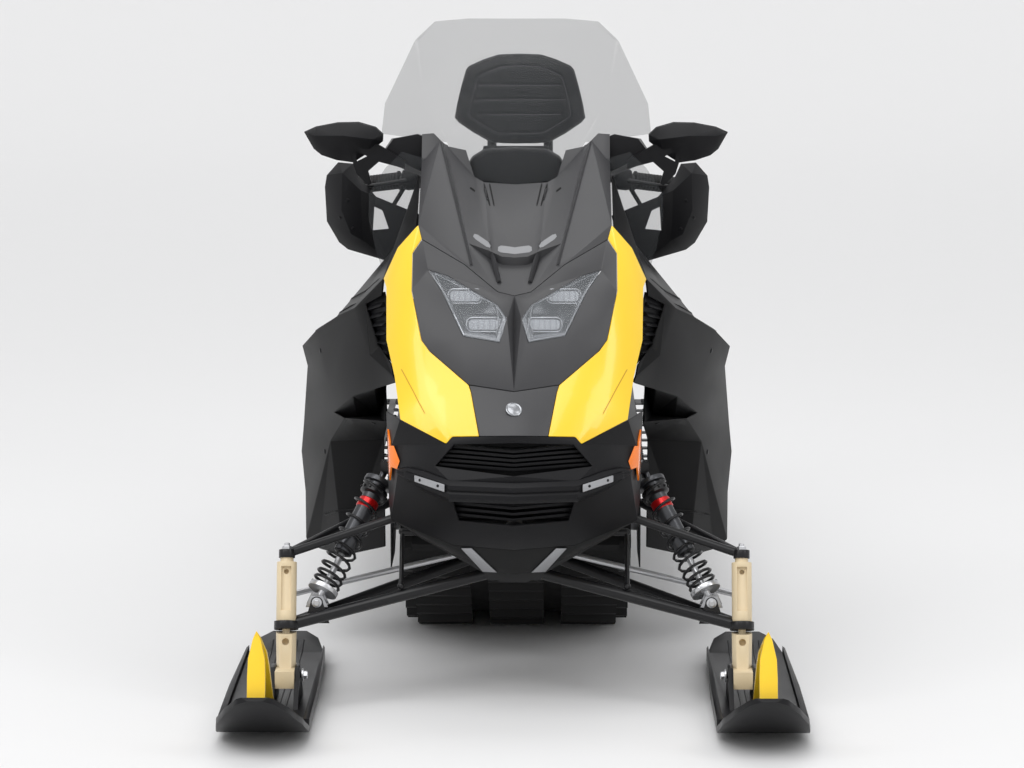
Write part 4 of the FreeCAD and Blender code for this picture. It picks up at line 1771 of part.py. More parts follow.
MIRROR_SHARES = (
    (1.545, 1.176), (1.46, 1.187), (1.302, 1.196), (1.151, 1.197), (1.025, 1.186), (0.972, 1.171),
    (0.975, 1.156), (1.08, 1.131), (1.19, 1.11), (1.31, 1.115), (1.42, 1.126), (1.477, 1.14),
)
MIRROR_RIDGE_SHARES = ((1.46, 1.171), (1.26, 1.171), (1.04, 1.163))
MIRROR_CENTRE_SHARES = (1.25, 1.155)
MIRROR_GLASS_SHARE = 0.88
BRACKET_SHARES = (
    (1.2, 1.162), (1.03, 1.154), (0.814, 1.116), (0.81, 1.097), (1.0, 1.112), (1.08, 1.091), (1.053, 1.065),
    (1.078, 1.06), (1.165, 1.086), (1.192, 1.112),
)
BRACKET_WINDOW_SHARES = ((1.17, 1.136), (1.083, 1.124), (1.162, 1.112))


POD_FRONT_SHARES = ((0.5, 1.14), (0.695, 1.09), (0.973, 1.13), (0.893, 1.162), (0.72, 1.172))
POD_REAR_SHARES = ((0.5, 1.14), (0.695, 1.07), (1.02, 1.11), (0.92, 1.155), (0.72, 1.165))


def check_and_write():
    """Stop if anything failed, then write one file to each sub-part."""
    doc.recompute()
    for item in doc.Objects:
        bad = [word for word in item.State if word in ("Invalid", "Error")]
        if bad:
            raise RuntimeError("%s is %s" % (item.Label, ", ".join(bad)))
    os.makedirs("parts", exist_ok=True)
    for item in PARTS:
        shape = item.Shape
        if shape.isNull() or not shape.isValid():
            raise RuntimeError(item.Label + " has no valid shape")
        shape.exportStep("parts/%s.step" % item.Label)
        print("%-22s %2d solids %9.1f cm3" % (item.Label, len(shape.Solids), shape.Volume / 1000))


cowl = make_cowl()
nose_room = cowl.room("nose_cowl", S.panel_wall, S.seam, S.seat_gap)
cowl_room = cowl.room("upper_cowl", S.panel_wall, S.seam, S.seat_gap)
side_room = make_side_panels()
shield_room = make_windshield()
pod = make_mounts_and_mirrors(shield_room, cowl_room)
make_deflectors([side_room, cowl_room, pod])
make_lamps(cowl)
make_reflectors(cowl)
make_tail_light()
make_grille(nose_room)
make_front_bumper(nose_room)
make_console()
make_instrument_hood()
make_seat()
make_backrest()
make_rack()
make_rear_bumper()
make_flap()
make_tunnel()
make_boards()
make_engine()
make_front_frame()
make_arms()
make_shocks()
make_sway_bar()
make_track()
make_wheels()
make_drive_axle()
make_rails()
make_skid_suspension()
for side_name, side in (("left", 1), ("right", -1)):
    rod_outer, rod_axis = make_spindle(side_name, side)
    make_tie_rod(side_name, side, rod_outer, rod_axis)
    make_ski(side_name, side)
    make_ski_loop(side_name, side)
make_handlebar()
make_handguards()
check_and_write()
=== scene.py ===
"""Looks for the touring snowmobile: finishes, lamps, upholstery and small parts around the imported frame."""
import json
import math

import bmesh
import bpy
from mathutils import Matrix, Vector


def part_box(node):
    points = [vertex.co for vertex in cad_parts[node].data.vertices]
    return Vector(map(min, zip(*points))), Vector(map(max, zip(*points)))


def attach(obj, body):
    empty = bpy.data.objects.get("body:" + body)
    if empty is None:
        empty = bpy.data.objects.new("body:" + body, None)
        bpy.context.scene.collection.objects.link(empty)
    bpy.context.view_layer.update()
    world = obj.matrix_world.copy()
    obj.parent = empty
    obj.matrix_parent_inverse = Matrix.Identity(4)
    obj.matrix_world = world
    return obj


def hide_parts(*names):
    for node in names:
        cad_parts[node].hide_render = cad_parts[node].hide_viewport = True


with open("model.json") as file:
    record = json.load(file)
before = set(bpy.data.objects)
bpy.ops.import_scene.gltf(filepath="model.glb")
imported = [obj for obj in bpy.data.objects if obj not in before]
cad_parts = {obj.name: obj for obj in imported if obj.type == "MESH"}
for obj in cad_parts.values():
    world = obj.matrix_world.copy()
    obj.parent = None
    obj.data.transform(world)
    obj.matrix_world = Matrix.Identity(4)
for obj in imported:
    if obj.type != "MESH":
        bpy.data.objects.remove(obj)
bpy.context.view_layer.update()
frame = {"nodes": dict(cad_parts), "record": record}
NODES = frame["nodes"]
SLOT_OF = {row["node"]: row["material_slot"] for row in frame["record"]["subparts"]}
MM = 0.001

# Directions; +X is the rider's left and -Y is forwards
UP = Vector((0, 0, 1))
DOWN = Vector((0, 0, -1))
FORWARDS = Vector((0, -1, 0))
BACKWARDS = Vector((0, 1, 0))
LEFTWARDS = Vector((1, 0, 0))
SIDES = (-1, 1)

# Materials
COAT_ROUGHNESS = 0.06
GRAIN_STRENGTH = 0.45
# For each finish: its colour on a screen, its roughness and whatever differs from a plain one
FINISHES = {
    # The record's slots
    "black_plastic": ((25, 25, 27), 0.42, dict(ior=1.24, grain=(900, 1e-4))),
    "grey_plastic": ((62, 62, 64), 0.4, dict(specular=0.34, vary=0.08, grain=(1200, 5e-5))),
    "yellow_plastic": ((250, 206, 34), 0.3, dict(coat=0.4, vary=0.03, grain=(300, 3e-5))),
    "black_gloss": ((23, 23, 24), 0.38, dict(ior=1.2, grain=(1100, 5e-5))),
    "alu_black": ((34, 35, 37), 0.42, dict(metal=0.35, specular=0.4, grain=(700, 8e-5))),
    "cast_alloy": ((168, 169, 172), 0.36, dict(metal=0.9, vary=0.1, grain=(500, 1.2e-4))),
    "black_steel": ((24, 24, 26), 0.3, dict(metal=0.1, ior=1.4, grain=(800, 8e-5))),
    "bare_steel": ((196, 197, 200), 0.3, dict(metal=0.75, grain=(1500, 3e-5))),
    "tan_cast": ((216, 198, 164), 0.42, dict(vary=0.1, vary_scale=14, grain=(420, 3e-4, "cells"))),
    "ski_plastic": ((24, 24, 26), 0.36, dict(ior=1.28, grain=(900, 5e-5))),
    "track_rubber": ((26, 26, 27), 0.6, dict(specular=0.25, grain=(500, 3e-4))),
    "flap_rubber": ((24, 24, 25), 0.6, dict(specular=0.35, grain=(600, 2e-4))),
    "wheel_plastic": ((34, 35, 37), 0.46, dict(specular=0.4, grain=(700, 1e-4))),
    "seat_vinyl": ((24, 24, 26), 0.46, dict(ior=1.3, grain=(500, 6e-5))),
    "tail_lens": ((170, 16, 14), 0.15, dict(coat=0.5, vary=0.05)),
    "smoked_shield": ((78, 80, 82), 0.05, dict(alpha=0.2, ior=1.2, vary=0.02, rough_vary=0.02)),
    "lamp_lens": ((215, 220, 226), 0.03, dict(alpha=0.09, vary=0.01, rough_vary=0.01)),
    "lamp_bright": ((182, 185, 190), 0.2, dict(metal=0.8, coat=0.3, vary=0.05, grain=(1400, 3e-5))),
    "amber_lens": ((255, 128, 18), 0.18, dict(coat=0.6, vary=0.05, grain=(260, 5e-4, "cells"))),
    # Looks of single pieces and nodes
    "lamp_eye": ((176, 180, 186), 0.1, dict(metal=0.5, coat=0.8, vary=0.03)),
    "lamp_bowl": ((92, 94, 98), 0.26, dict(metal=0.6, coat=0.3, vary=0.1)),
    # Near black for the belly pan; on the cowl's slots it is painted shade
    "deep_black": ((9, 9, 10), 0.6, dict(vary=0.1, specular=0.25, grain=(900, 8e-5))),
    "painted_frame": ((20, 20, 22), 0.42, dict(specular=0.35, grain=(700, 1e-4))),
    "shock_grey": ((70, 71, 74), 0.3, dict(metal=0.7, vary=0.08, grain=(900, 5e-5))),
    # Painted highlight for the lit face of the cowl's step
    "step_highlight": ((132, 133, 136), 0.4, dict(vary=0.06, grain=(1100, 5e-5))),
    # Painted shade along the accent panels' creases
    "crease_shade": ((196, 150, 14), 0.4, dict(vary=0.05, grain=(900, 3e-5))),
    "roundel": ((150, 152, 156), 0.26, dict(metal=0.8, coat=0.3, vary=0.06, grain=(800, 4e-5))),
    "mirror_silver": ((222, 226, 230), 0.03, dict(metal=1.0, vary=0.01, rough_vary=0.01)),
    "screen": ((16, 20, 24), 0.08, dict(coat=0.9, vary=0.2)),
    "red_anodise": ((200, 24, 26), 0.3, dict(metal=0.6, coat=0.2, vary=0.06, grain=(900, 4e-5))),
    "piping": ((30, 30, 32), 0.42, dict(sheen=0.1, vary=0.1, grain=(900, 1e-4))),
    "thread": ((96, 96, 100), 0.7, dict(sheen=0.3, vary=0.15, grain=(2000, 1e-4))),
}
# CAD nodes that look different from their slot's finish
OWN_LOOK = {
    "front_frame": "painted_frame", "engine_block": "painted_frame", "front_shocks": "shock_grey",
    "headlight_units": "lamp_bowl", "belly_pan": "deep_black",
}


def linear(red, green, blue):
    """Linear light from the 0 to 255 values that a screen shows."""
    values = []
    for value in (red, green, blue):
        share = value / 255
        values.append(share / 12.92 if share <= 0.04045 else ((share + 0.055) / 1.055) ** 2.4)
    return tuple(values)


def fill(node, values):
    """Set a node's sockets by their names."""
    for socket, value in values.items():
        node.inputs[socket].default_value = value


def material(name, base, rough, metal=0.0, coat=0.0, alpha=1.0, ior=1.5, sheen=0.0, specular=0.5,
             vary=0.12, vary_scale=6.0, rough_vary=0.08, grain=None):
    """A node material: base colour with slow variation, uneven roughness and a fine grain in the bump."""
    made = bpy.data.materials.new(name)
    made.use_nodes = True
    tree = made.node_tree
    new, link = tree.nodes.new, tree.links.new
    shader = tree.nodes["Principled BSDF"]
    fill(shader, {"Metallic": metal, "Coat Weight": coat, "Coat Roughness": COAT_ROUGHNESS, "Alpha": alpha,
                  "IOR": ior, "Sheen Weight": sheen, "Specular IOR Level": specular})
    coords = new("ShaderNodeTexCoord")
    slow = new("ShaderNodeTexNoise")
    fill(slow, {"Scale": vary_scale, "Detail": 6})
    link(coords.outputs["Object"], slow.inputs["Vector"])
    tint = new("ShaderNodeMix")
    tint.data_type = "RGBA"
    fill(tint, {"A": (*[value * (1 - vary) for value in base], 1),
                "B": (*[min(value * (1 + vary), 1) for value in base], 1)})
    link(slow.outputs["Fac"], tint.inputs["Factor"])
    link(tint.outputs["Result"], shader.inputs["Base Color"])
    spread = new("ShaderNodeMapRange")
    fill(spread, {"To Min": max(rough - rough_vary, 0), "To Max": rough + rough_vary})
    link(slow.outputs["Fac"], spread.inputs["Value"])
    link(spread.outputs["Result"], shader.inputs["Roughness"])
    if grain:
        add_grain(tree, shader, coords, *grain)
    return made


def add_grain(tree, shader, coords, scale, height, kind="noise"):
    """Fine relief: scale in grains a metre, height in metres, and kind is noise or cells."""
    new, link = tree.nodes.new, tree.links.new
    if kind == "cells":
        cells = new("ShaderNodeTexVoronoi")
        cells.feature = "SMOOTH_F1"
        out = cells.outputs["Distance"]
    else:
        cells = new("ShaderNodeTexNoise")
        fill(cells, {"Detail": 4})
        out = cells.outputs["Fac"]
    fill(cells, {"Scale": scale})
    link(coords.outputs["Object"], cells.inputs["Vector"])
    bump = new("ShaderNodeBump")
    fill(bump, {"Strength": GRAIN_STRENGTH, "Distance": height})
    link(out, bump.inputs["Height"])
    link(bump.outputs["Normal"], shader.inputs["Normal"])


MATERIALS = {name: material(name, linear(*shown), rough, **more)
             for name, (shown, rough, more) in FINISHES.items()}

# Shared helpers: every length below is in millimetres, and spot turns it into metres
FAR = 2000
SMOOTH_ANGLE = 33
BEVEL_ANGLE = 28


def spot(x, y, z):
    return Vector((x, y, z)) * MM


def move(x, y, z):
    """A short move, for adding to a place that is in metres already."""
    return Vector((x * MM, y * MM, z * MM))


def spot_on(side, point):
    """A named point as metres, on the side given as 1 or -1."""
    x, y, z = point
    return spot(side * x, y, z)


def smooth_group(name, degrees):
    """Geometry nodes that shade a mesh smooth and keep the edges above an angle sharp."""
    group = bpy.data.node_groups.new(name, "GeometryNodeTree")
    new, link = group.nodes.new, group.links.new
    for way in ("INPUT", "OUTPUT"):
        group.interface.new_socket("Geometry", in_out=way, socket_type="NodeSocketGeometry")
    start = new("NodeGroupInput")
    end = new("NodeGroupOutput")
    faces = new("GeometryNodeSetShadeSmooth")
    edges = new("GeometryNodeSetShadeSmooth")
    edges.domain = "EDGE"
    edges.inputs["Shade Smooth"].default_value = False
    angle = new("GeometryNodeInputMeshEdgeAngle")
    compare = new("FunctionNodeCompare")
    compare.operation = "GREATER_THAN"
    compare.inputs["B"].default_value = math.radians(degrees)
    link(start.outputs[0], faces.inputs["Geometry"])
    link(faces.outputs["Geometry"], edges.inputs["Geometry"])
    link(angle.outputs["Unsigned Angle"], compare.inputs["A"])
    link(compare.outputs["Result"], edges.inputs["Selection"])
    link(edges.outputs["Geometry"], end.inputs[0])
    return group


SMOOTH = smooth_group("smooth_by_angle", SMOOTH_ANGLE)


def soften(item, width):
    """Round an object's edges by a width, where there is one, and shade it smooth by angle."""
    if width:
        bevel = item.modifiers.new("Bevel", "BEVEL")
        bevel.width = width * MM
        bevel.segments = 2
        bevel.limit_method = "ANGLE"
        bevel.angle_limit = math.radians(BEVEL_ANGLE)
    shade = item.modifiers.new("Smooth", "NODES")
    shade.node_group = SMOOTH


def fresh(count):
    """New, empty bmeshes."""
    return [bmesh.new() for _ in range(count)]


def linked(name, bm):
    """A new object in the scene from a bmesh, which is freed."""
    mesh = bpy.data.meshes.new(name)
    bm.to_mesh(mesh)
    bm.free()
    item = bpy.data.objects.new(name, mesh)
    bpy.context.scene.collection.objects.link(item)
    return item


def piece(name, bm, slot, body="chassis", look=None, bevel=0.0):
    """A new piece from a bmesh, with its finish and body; the slot gives the finish where no look is given.
    """
    bmesh.ops.recalc_face_normals(bm, faces=bm.faces)
    item = linked(name, bm)
    item.data.materials.append(MATERIALS[look or slot])
    soften(item, bevel)
    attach(item, body)
    return item


def frame_of(along):
    """Two directions across a given one."""
    along = along.normalized()
    side = along.cross(UP)
    if side.length < 0.1:
        side = along.cross(BACKWARDS)
    side.normalize()
    return side, side.cross(along).normalized()


def add_ring(bm, centre, side, up, radius, count):
    """A circle of new vertices."""
    ring = []
    for k in range(count):
        turn = math.tau * k / count
        ring.append(bm.verts.new(centre + (side * math.cos(turn) + up * math.sin(turn)) * radius * MM))
    return ring


def add_skin(bm, rings, closed=False):
    """Faces from each ring of vertices to the next; an open run gets its two ends."""
    for ring, onward in zip(rings, rings[1:] + rings[:1] if closed else rings[1:]):
        for k in range(len(ring)):
            j = (k + 1) % len(ring)
            bm.faces.new((ring[k], ring[j], onward[j], onward[k]))
    if not closed:
        bm.faces.new(list(reversed(rings[0])))
        bm.faces.new(rings[-1])


def add_tube(bm, points, radius, sides=12, closed=False):
    """A swept round section through points; radius is one number or one for each point."""
    count = len(points)
    radii = radius if isinstance(radius, list) else [radius] * count
    rings = []
    side = None
    for i, point in enumerate(points):
        before = points[i - 1] if (i > 0 or closed) else points[i]
        after = points[(i + 1) % count] if (i < count - 1 or closed) else points[i]
        along = (after - before).normalized()
        if side is None:
            side, _ = frame_of(along)
        side = (side - along * side.dot(along)).normalized()
        rings.append(add_ring(bm, point, side, along.cross(side), radii[i], sides))
    add_skin(bm, rings, closed)


def add_turned(bm, place, along, profile, sides=24):
    """A turned shape about an axis; profile holds pairs of distance along it and radius."""
    along = along.normalized()
    side, up = frame_of(along)
    add_skin(bm, [add_ring(bm, place + along * reach * MM, side, up, radius, sides)
                  for reach, radius in profile])


def add_bolt(bm, place, along, radius):
    """A hex bolt head on a washer."""
    add_turned(bm, place, along, ((-2, radius * 1.5), (1.2, radius * 1.5), (1.8, radius * 1.35)), 20)
    add_turned(bm, place, along, ((1, radius), (radius * 0.9, radius), (radius * 1.1, radius * 0.84)), 6)


def add_rivet(bm, place, along, radius):
    """A domed rivet or push pin."""
    add_turned(bm, place, along, ((-1, radius), (0.6, radius), (1.6, radius * 0.8), (2.1, radius * 0.4)), 14)


def add_prism(bm, points, sweep):
    """A plate from an outline and a sweep vector."""
    low = [bm.verts.new(point) for point in points]
    high = [bm.verts.new(point + sweep) for point in points]
    count = len(points)
    bm.faces.new(list(reversed(low)))
    bm.faces.new(high)
    for i in range(count):
        j = (i + 1) % count
        bm.faces.new((low[i], low[j], high[j], high[i]))


def lofted_mesh(rings):
    """A closed mesh through rings of as many points each."""
    bm = bmesh.new()
    made = [[bm.verts.new(point) for point in ring] for ring in rings]
    count = len(rings[0])
    for ring, onward in zip(made, made[1:]):
        for k in range(count):
            j = (k + 1) % count
            bm.faces.new((ring[k], onward[k], onward[j], ring[j]))
    bm.faces.new(made[0])
    bm.faces.new(list(reversed(made[-1])))
    bmesh.ops.recalc_face_normals(bm, faces=bm.faces)
    return bm


def rounded_outline(half_wide, half_high, corner, steps=6):
    """Corner-rounded rectangle as pairs, anticlockwise."""
    pairs = []
    for x, z, start in ((1, 1, 0), (-1, 1, 90), (-1, -1, 180), (1, -1, 270)):
        for step in range(steps + 1):
            turn = math.radians(start + 90 * step / steps)
            pairs.append((x * (half_wide - corner) + corner * math.cos(turn),
                          z * (half_high - corner) + corner * math.sin(turn)))
    return pairs


def mirrored(half):
    """A half outline's pairs, and the same pairs on the other side in reverse order."""
    return list(half) + [(-x, z) for x, z in reversed(half)]


def both_sides(points):
    """The points, and the same points mirrored to the other side."""
    return (points, [Vector((-point.x, point.y, point.z)) for point in points])


def steps_between(start, end, count):
    return [start + (end - start) * i / count for i in range(count + 1)]


def ramp(value, start, span):
    """How far a value is into a span, from 0 to 1."""
    return max(0, min(1, (value - start) / span))


def hits(node, start, aim):
    """Where a ray first meets a CAD node and the outward direction there: one pair, or none."""
    found, place, normal, _ = NODES[node].ray_cast(start, aim)
    return [(place, normal if normal.dot(aim) < 0 else -normal)] if found else []


def surface(node, start, aim):
    """That pair, for a ray that has to meet the node."""
    found = hits(node, start, aim)
    if not found:
        raise RuntimeError("no surface of %s from %s" % (node, tuple(start)))
    return found[0]


def from_front(node, x, z):
    return surface(node, spot(x, -FAR, z), BACKWARDS)


def from_above(node, x, y):
    return surface(node, spot(x, y, FAR), DOWN)


def from_flank(node, side, y, z):
    return hits(node, spot(side * FAR, y, z), Vector((-side, 0, 0)))


def add_band(bm, node, pairs, width, height, side=1, samples=10):
    """A raised strip laid on a node along a line given as x and z, seen from the front."""
    sink, end_taper = 1.0, 0.55
    left, right, over_left, over_right = [], [], [], []
    pairs = [(side * x, z) for x, z in pairs]
    line = []
    for (x0, z0), (x1, z1) in zip(pairs, pairs[1:]):
        for i in range(samples):
            share = i / samples
            line.append((x0 + (x1 - x0) * share, z0 + (z1 - z0) * share))
    line.append(pairs[-1])
    for i, (x, z) in enumerate(line):
        ahead = line[min(i + 1, len(line) - 1)]
        behind = line[max(i - 1, 0)]
        run = Vector((ahead[0] - behind[0], 0, ahead[1] - behind[1])).normalized()
        across = Vector((run.z, 0, -run.x)) * (width / 2)
        taper = end_taper if i in (0, len(line) - 1) else 1
        for way, low, high in ((-1, left, over_left), (1, right, over_right)):
            place, normal = from_front(node, x + across.x * way * taper, z + across.z * way * taper)
            low.append(bm.verts.new(place - normal * sink * MM))
            high.append(bm.verts.new(place + normal * height * MM))
    for i in range(len(line) - 1):
        bm.faces.new((over_left[i], over_left[i + 1], over_right[i + 1], over_right[i]))
        bm.faces.new((left[i], right[i], right[i + 1], left[i + 1]))
        bm.faces.new((left[i], left[i + 1], over_left[i + 1], over_left[i]))
        bm.faces.new((right[i + 1], right[i], over_right[i], over_right[i + 1]))
    bm.faces.new((left[0], over_left[0], over_right[0], right[0]))
    bm.faces.new((right[-1], over_right[-1], over_left[-1], left[-1]))


# CAD nodes
WELD_REACH = 0.05
PANEL_SLOTS = ("yellow_plastic", "black_gloss", "grey_plastic")
PANEL_BEVEL = 2.2
PLAIN_BEVEL = 0.9


def dress_nodes():
    """Give every CAD node its finish and softened edges."""
    for name, item in NODES.items():
        item.data.materials.clear()
        item.data.materials.append(MATERIALS[OWN_LOOK.get(name, SLOT_OF[name])])
        weld = item.modifiers.new("Weld", "WELD")
        weld.merge_threshold = WELD_REACH * MM
        soften(item, PANEL_BEVEL if SLOT_OF[name] in PANEL_SLOTS else PLAIN_BEVEL)


# Lamps, mirrors and the front bodywork
LAMP_SPOTS = ((103.5, -983.7, 862.4), (63.6, -1041.7, 809.4))
LAMP_HALF = (36, 15, 12)
LAMP_RIBS = (-0.66, -0.33, 0, 0.33, 0.66)
LAMP_EDGE = ((168, -943, 905), (38, -1030, 848), (27, -1066, 800), (30, -1085, 780), (104, -1068, 791))


def dress_lamps():
    """Bright rims, ribbed reflectors and small projector eyes on the headlamp modules."""
    rims, eyes, ribs, edges = fresh(4)
    half_wide, half_high, corner = LAMP_HALF
    for x, y, z in LAMP_SPOTS:
        rim = rounded_outline(half_wide, half_high, corner)
        for line in both_sides([spot(x + a, y - 2.5, z + b) for a, b in rim]):
            add_tube(rims, line, 1.3, 8, closed=True)
        eye = rounded_outline(half_wide - 5, half_high - 4.5, corner - 5)
        for line in both_sides([spot(x + a, y - 1.6, z + b) for a, b in eye]):
            add_prism(eyes, line, move(0, 1.2, 0))
        for share in LAMP_RIBS:
            low = spot(x + share * half_wide, y - 2.6, z - half_high + 4)
            high = spot(x + share * half_wide, y - 2.6, z + half_high - 4)
            for line in both_sides([low, high]):
                add_tube(ribs, line, 0.9, 6)
    piece("lamp_rims", rims, "lamp_bright")
    piece("lamp_eyes", eyes, "lamp_bright", look="lamp_eye")
    piece("lamp_ribs", ribs, "lamp_bright")
    for line in both_sides([spot(*point) for point in LAMP_EDGE]):
        add_tube(edges, line, 1.1, 6, closed=True)
    piece("lamp_edges", edges, "lamp_bright")


# Dark strips laid over the cowl's vent slots: painted shade for the insides of the slots
COWL_SLOT_SHADE = (
    (((69, 1068), (55, 1027)), 3.4, 0.5), (((57, 1068), (46, 1027)), 3.4, 0.5),
    (((99, 1062), (88, 1054)), 3, 0.4),
)
# A lighter grey strip on the cowl's step: a painted highlight where the step's face catches the light
STEP_MIDDLE = ((-36, 950), (0, 946), (36, 950))
STEP_END = ((88, 976), (52, 955))
# A darker yellow strip along each accent panel's crease: painted shade in the crease
PANEL_CREASE = ((236, 716), (210, 676), (184, 634))
ROUNDEL_HEIGHT = 648
ROUNDEL_PROFILE = ((-2, 17), (1.6, 17), (2.4, 15.5), (1.4, 13.5), (1.4, 12.5), (2.2, 11))


def dress_cowl():
    """Painted shade in the slots and along the accent creases, a painted highlight along the step, and the
    blank roundel on the front panels.
    """
    slot_shade, band, creases, badge = fresh(4)
    for side in SIDES:
        for line, width, height in COWL_SLOT_SHADE:
            add_band(slot_shade, "upper_cowl", line, width, height, side)
    piece("cowl_slot_shade", slot_shade, "black_plastic", look="deep_black")
    add_band(band, "upper_cowl", STEP_MIDDLE, 12, 0.4, samples=6)
    for side in SIDES:
        add_band(band, "upper_cowl", STEP_END, 9, 0.4, side, samples=6)
    piece("cowl_step_highlight", band, "grey_plastic", look="step_highlight")
    for side in SIDES:
        node = "accent_panel_left" if side > 0 else "accent_panel_right"
        add_band(creases, node, PANEL_CREASE, 2.4, 0.25, side)
    piece("accent_crease_shade", creases, "yellow_plastic", look="crease_shade")
    place, normal = from_front("nose_panel", 0, ROUNDEL_HEIGHT)
    add_turned(badge, place, normal, ROUNDEL_PROFILE, 40)
    piece("nose_roundel", badge, "lamp_bright", look="roundel")


# Runs as the inner and outer x, then the inner and outer z
BUMPER_PLATE = (142, 206, 492, 503)
BUMPER_PLATE_END = (204, 228, 503, 507)
BUMPER_SCREWS = ((156, 495), (194, 501))
AMBER_WRAP = ((261, -1064, 557), (251, -1079, 559), (238, -1099, 530), (244, -1095, 512), (258, -1076, 514))


def dress_bumper():
    """Amber wraps, and silver skid plates near the bumper's tips with black ends and screws."""
    plates, ends, screws, amber = fresh(4)
    for side in SIDES:
        for (x0, x1, z0, z1), target in ((BUMPER_PLATE, plates), (BUMPER_PLATE_END, ends)):
            corners = []
            for x, z, rise in ((x0, z0, 8), (x0, z0, -8), (x1, z1, -7), (x1, z1, 7)):
                place, _ = from_front("front_bumper", side * x, z)
                corners.append(place + move(0, -3, rise))
            add_prism(target, corners, move(0, -3.2, 0))
        for x, z in BUMPER_SCREWS:
            place, _ = from_front("front_bumper", side * x, z)
            add_rivet(screws, place - move(0, 6.2, 0), FORWARDS, 3.2)
    for line in both_sides([spot(*corner) for corner in AMBER_WRAP]):
        add_prism(amber, line, move(0, -3, 0))
    piece("reflector_wraps", amber, "amber_lens", bevel=1.0)
    piece("bumper_plates", plates, "cast_alloy", bevel=1.2)
    piece("bumper_plate_ends", ends, "black_plastic", bevel=1.0)
    piece("bumper_screws", screws, "black_steel")


MIRROR_OUTLINE = (
    (463.5, 1176), (438, 1187), (390.6, 1196), (345.3, 1197), (307.5, 1186), (291.6, 1171),
    (292.5, 1156), (324, 1131), (357, 1110), (393, 1115), (426, 1126), (443, 1140),
)
MIRROR_CENTRE = (375, 1155)
MIRROR_BACK = -553.4
GLASS_SHARE = 0.85
SEAM_SHARE = 1.002


def mirror_line(side, share, y):
    """A mirror housing's outline, drawn in or out about its middle by a share."""
    middle_x, middle_z = MIRROR_CENTRE
    return [spot(side * (middle_x + (x - middle_x) * share), y, middle_z + (z - middle_z) * share)
            for x, z in MIRROR_OUTLINE]


def dress_mirrors():
    """Mirror glass in each housing's back, and the seam round the housing."""
    glass, seams = fresh(2)
    for side in SIDES:
        add_prism(glass, mirror_line(side, GLASS_SHARE, MIRROR_BACK), move(0, 1.5, 0))
        add_tube(seams, mirror_line(side, SEAM_SHARE, MIRROR_BACK - 9), 1.1, 6, closed=True)
    piece("mirror_glass", glass, "lamp_bright", look="mirror_silver")
    piece("mirror_seams", seams, "black_plastic")


# Rider's controls
GRIP_END = (392, -155, 1019.5)
BAR_BEND = (196, -205, 1047)
GRIP_RIBS = 16
GRIP_PITCH = 7.2
POD_PROFILE = ((138, 15), (140, 23), (146, 25), (170, 25), (177, 22), (179, 14))
POD_MIDDLE = 158
BUTTONS = (-10, 2, 13)
# A lever's root, two pulls and tip: how far along the bar from its end, and how far ahead of it
LEVER = ((150, 18), (150, 30), (88, 60), (22, 52))
LEVER_STEPS = 16
PAD_START = (-62, -230, 992)
PAD_PROFILE = ((0, 20), (3, 27), (60, 30), (121, 27), (124, 20))
GUARD_PINS = ((384, 1000), (402, 960), (372, 935))


def dress_handlebar():
    """Ribbed rubber grips, switch pods with buttons, levers, the bar's pad and the handguards' pins."""
    grips, pods, levers, pad, buttons, pins = fresh(6)
    for side in SIDES:
        end = spot_on(side, GRIP_END)
        along = (spot_on(side, BAR_BEND) - end).normalized()
        profile = [(-5, 12), (-4, 20), (1, 21.5), (5, 21), (6, 18.4)]
        for i in range(GRIP_RIBS):
            start = 8 + i * GRIP_PITCH
            profile += [(start, 18.4), (start + 1, 19.6), (start + 4.6, 19.6), (start + 5.6, 18.4)]
        profile += [(124, 18.4), (126, 22), (130, 22), (131, 13)]
        add_turned(grips, end, along, profile, 28)
        centre = end + along * POD_MIDDLE * MM
        add_turned(pods, end, along, POD_PROFILE, 20)
        back = BACKWARDS - along * along.y
        back.normalize()
        for offset in BUTTONS:
            place = centre + along * offset * MM + back * 23 * MM
            add_turned(buttons, place, back, ((0, 4.2), (4, 4.2), (5, 3.2)), 14)
        root, pivot, middle, tip = [end + along * reach * MM - back * ahead * MM for reach, ahead in LEVER]
        curve = []
        for share in steps_between(0, 1, LEVER_STEPS):
            curve.append(root * (1 - share) ** 3 + pivot * 3 * share * (1 - share) ** 2
                         + middle * 3 * share ** 2 * (1 - share) + tip * share ** 3)
        add_tube(levers, curve, [6.2 - 2.2 * i / LEVER_STEPS for i in range(LEVER_STEPS)] + [5.0], 10)
    add_turned(pad, spot(*PAD_START), LEFTWARDS, PAD_PROFILE, 24)
    piece("grips", grips, "flap_rubber", "steering")
    piece("switch_pods", pods, "black_plastic", "steering", bevel=1.0)
    piece("switch_buttons", buttons, "wheel_plastic", "steering")
    piece("hand_levers", levers, "black_steel", "steering")
    piece("bar_pad", pad, "seat_vinyl", "steering")
    for side in SIDES:
        for x, z in GUARD_PINS:
            place, normal = from_front("handguards", side * x, z)
            add_rivet(pins, place, normal, 4)
    piece("guard_pins", pins, "black_plastic", "steering")


GAUGE_Y = -446
VISOR_HALF = ((60, 1040), (100, 1046), (114, 1066), (112, 1092), (98, 1117), (70, 1134))
VISOR = mirrored(VISOR_HALF)
VISOR.insert(len(VISOR_HALF), (0, 1138))
# For each of the visor's rings: its y, its share of the outline and its rise
VISOR_RINGS = ((-536, 0.9, -5), (-528, 0.97, -1), (-505, 1.0, 0), (-478, 0.98, 0))
KEY_SPOTS = (-64, -32, 0, 32, 64)
KEY_Y = -300
TANK_CAP_Y = -170
TANK_CAP_PROFILE = ((-6, 44), (8, 44), (12, 41), (12, 34), (17, 32), (18, 12))
TANK_CAP_RIDGES = 10


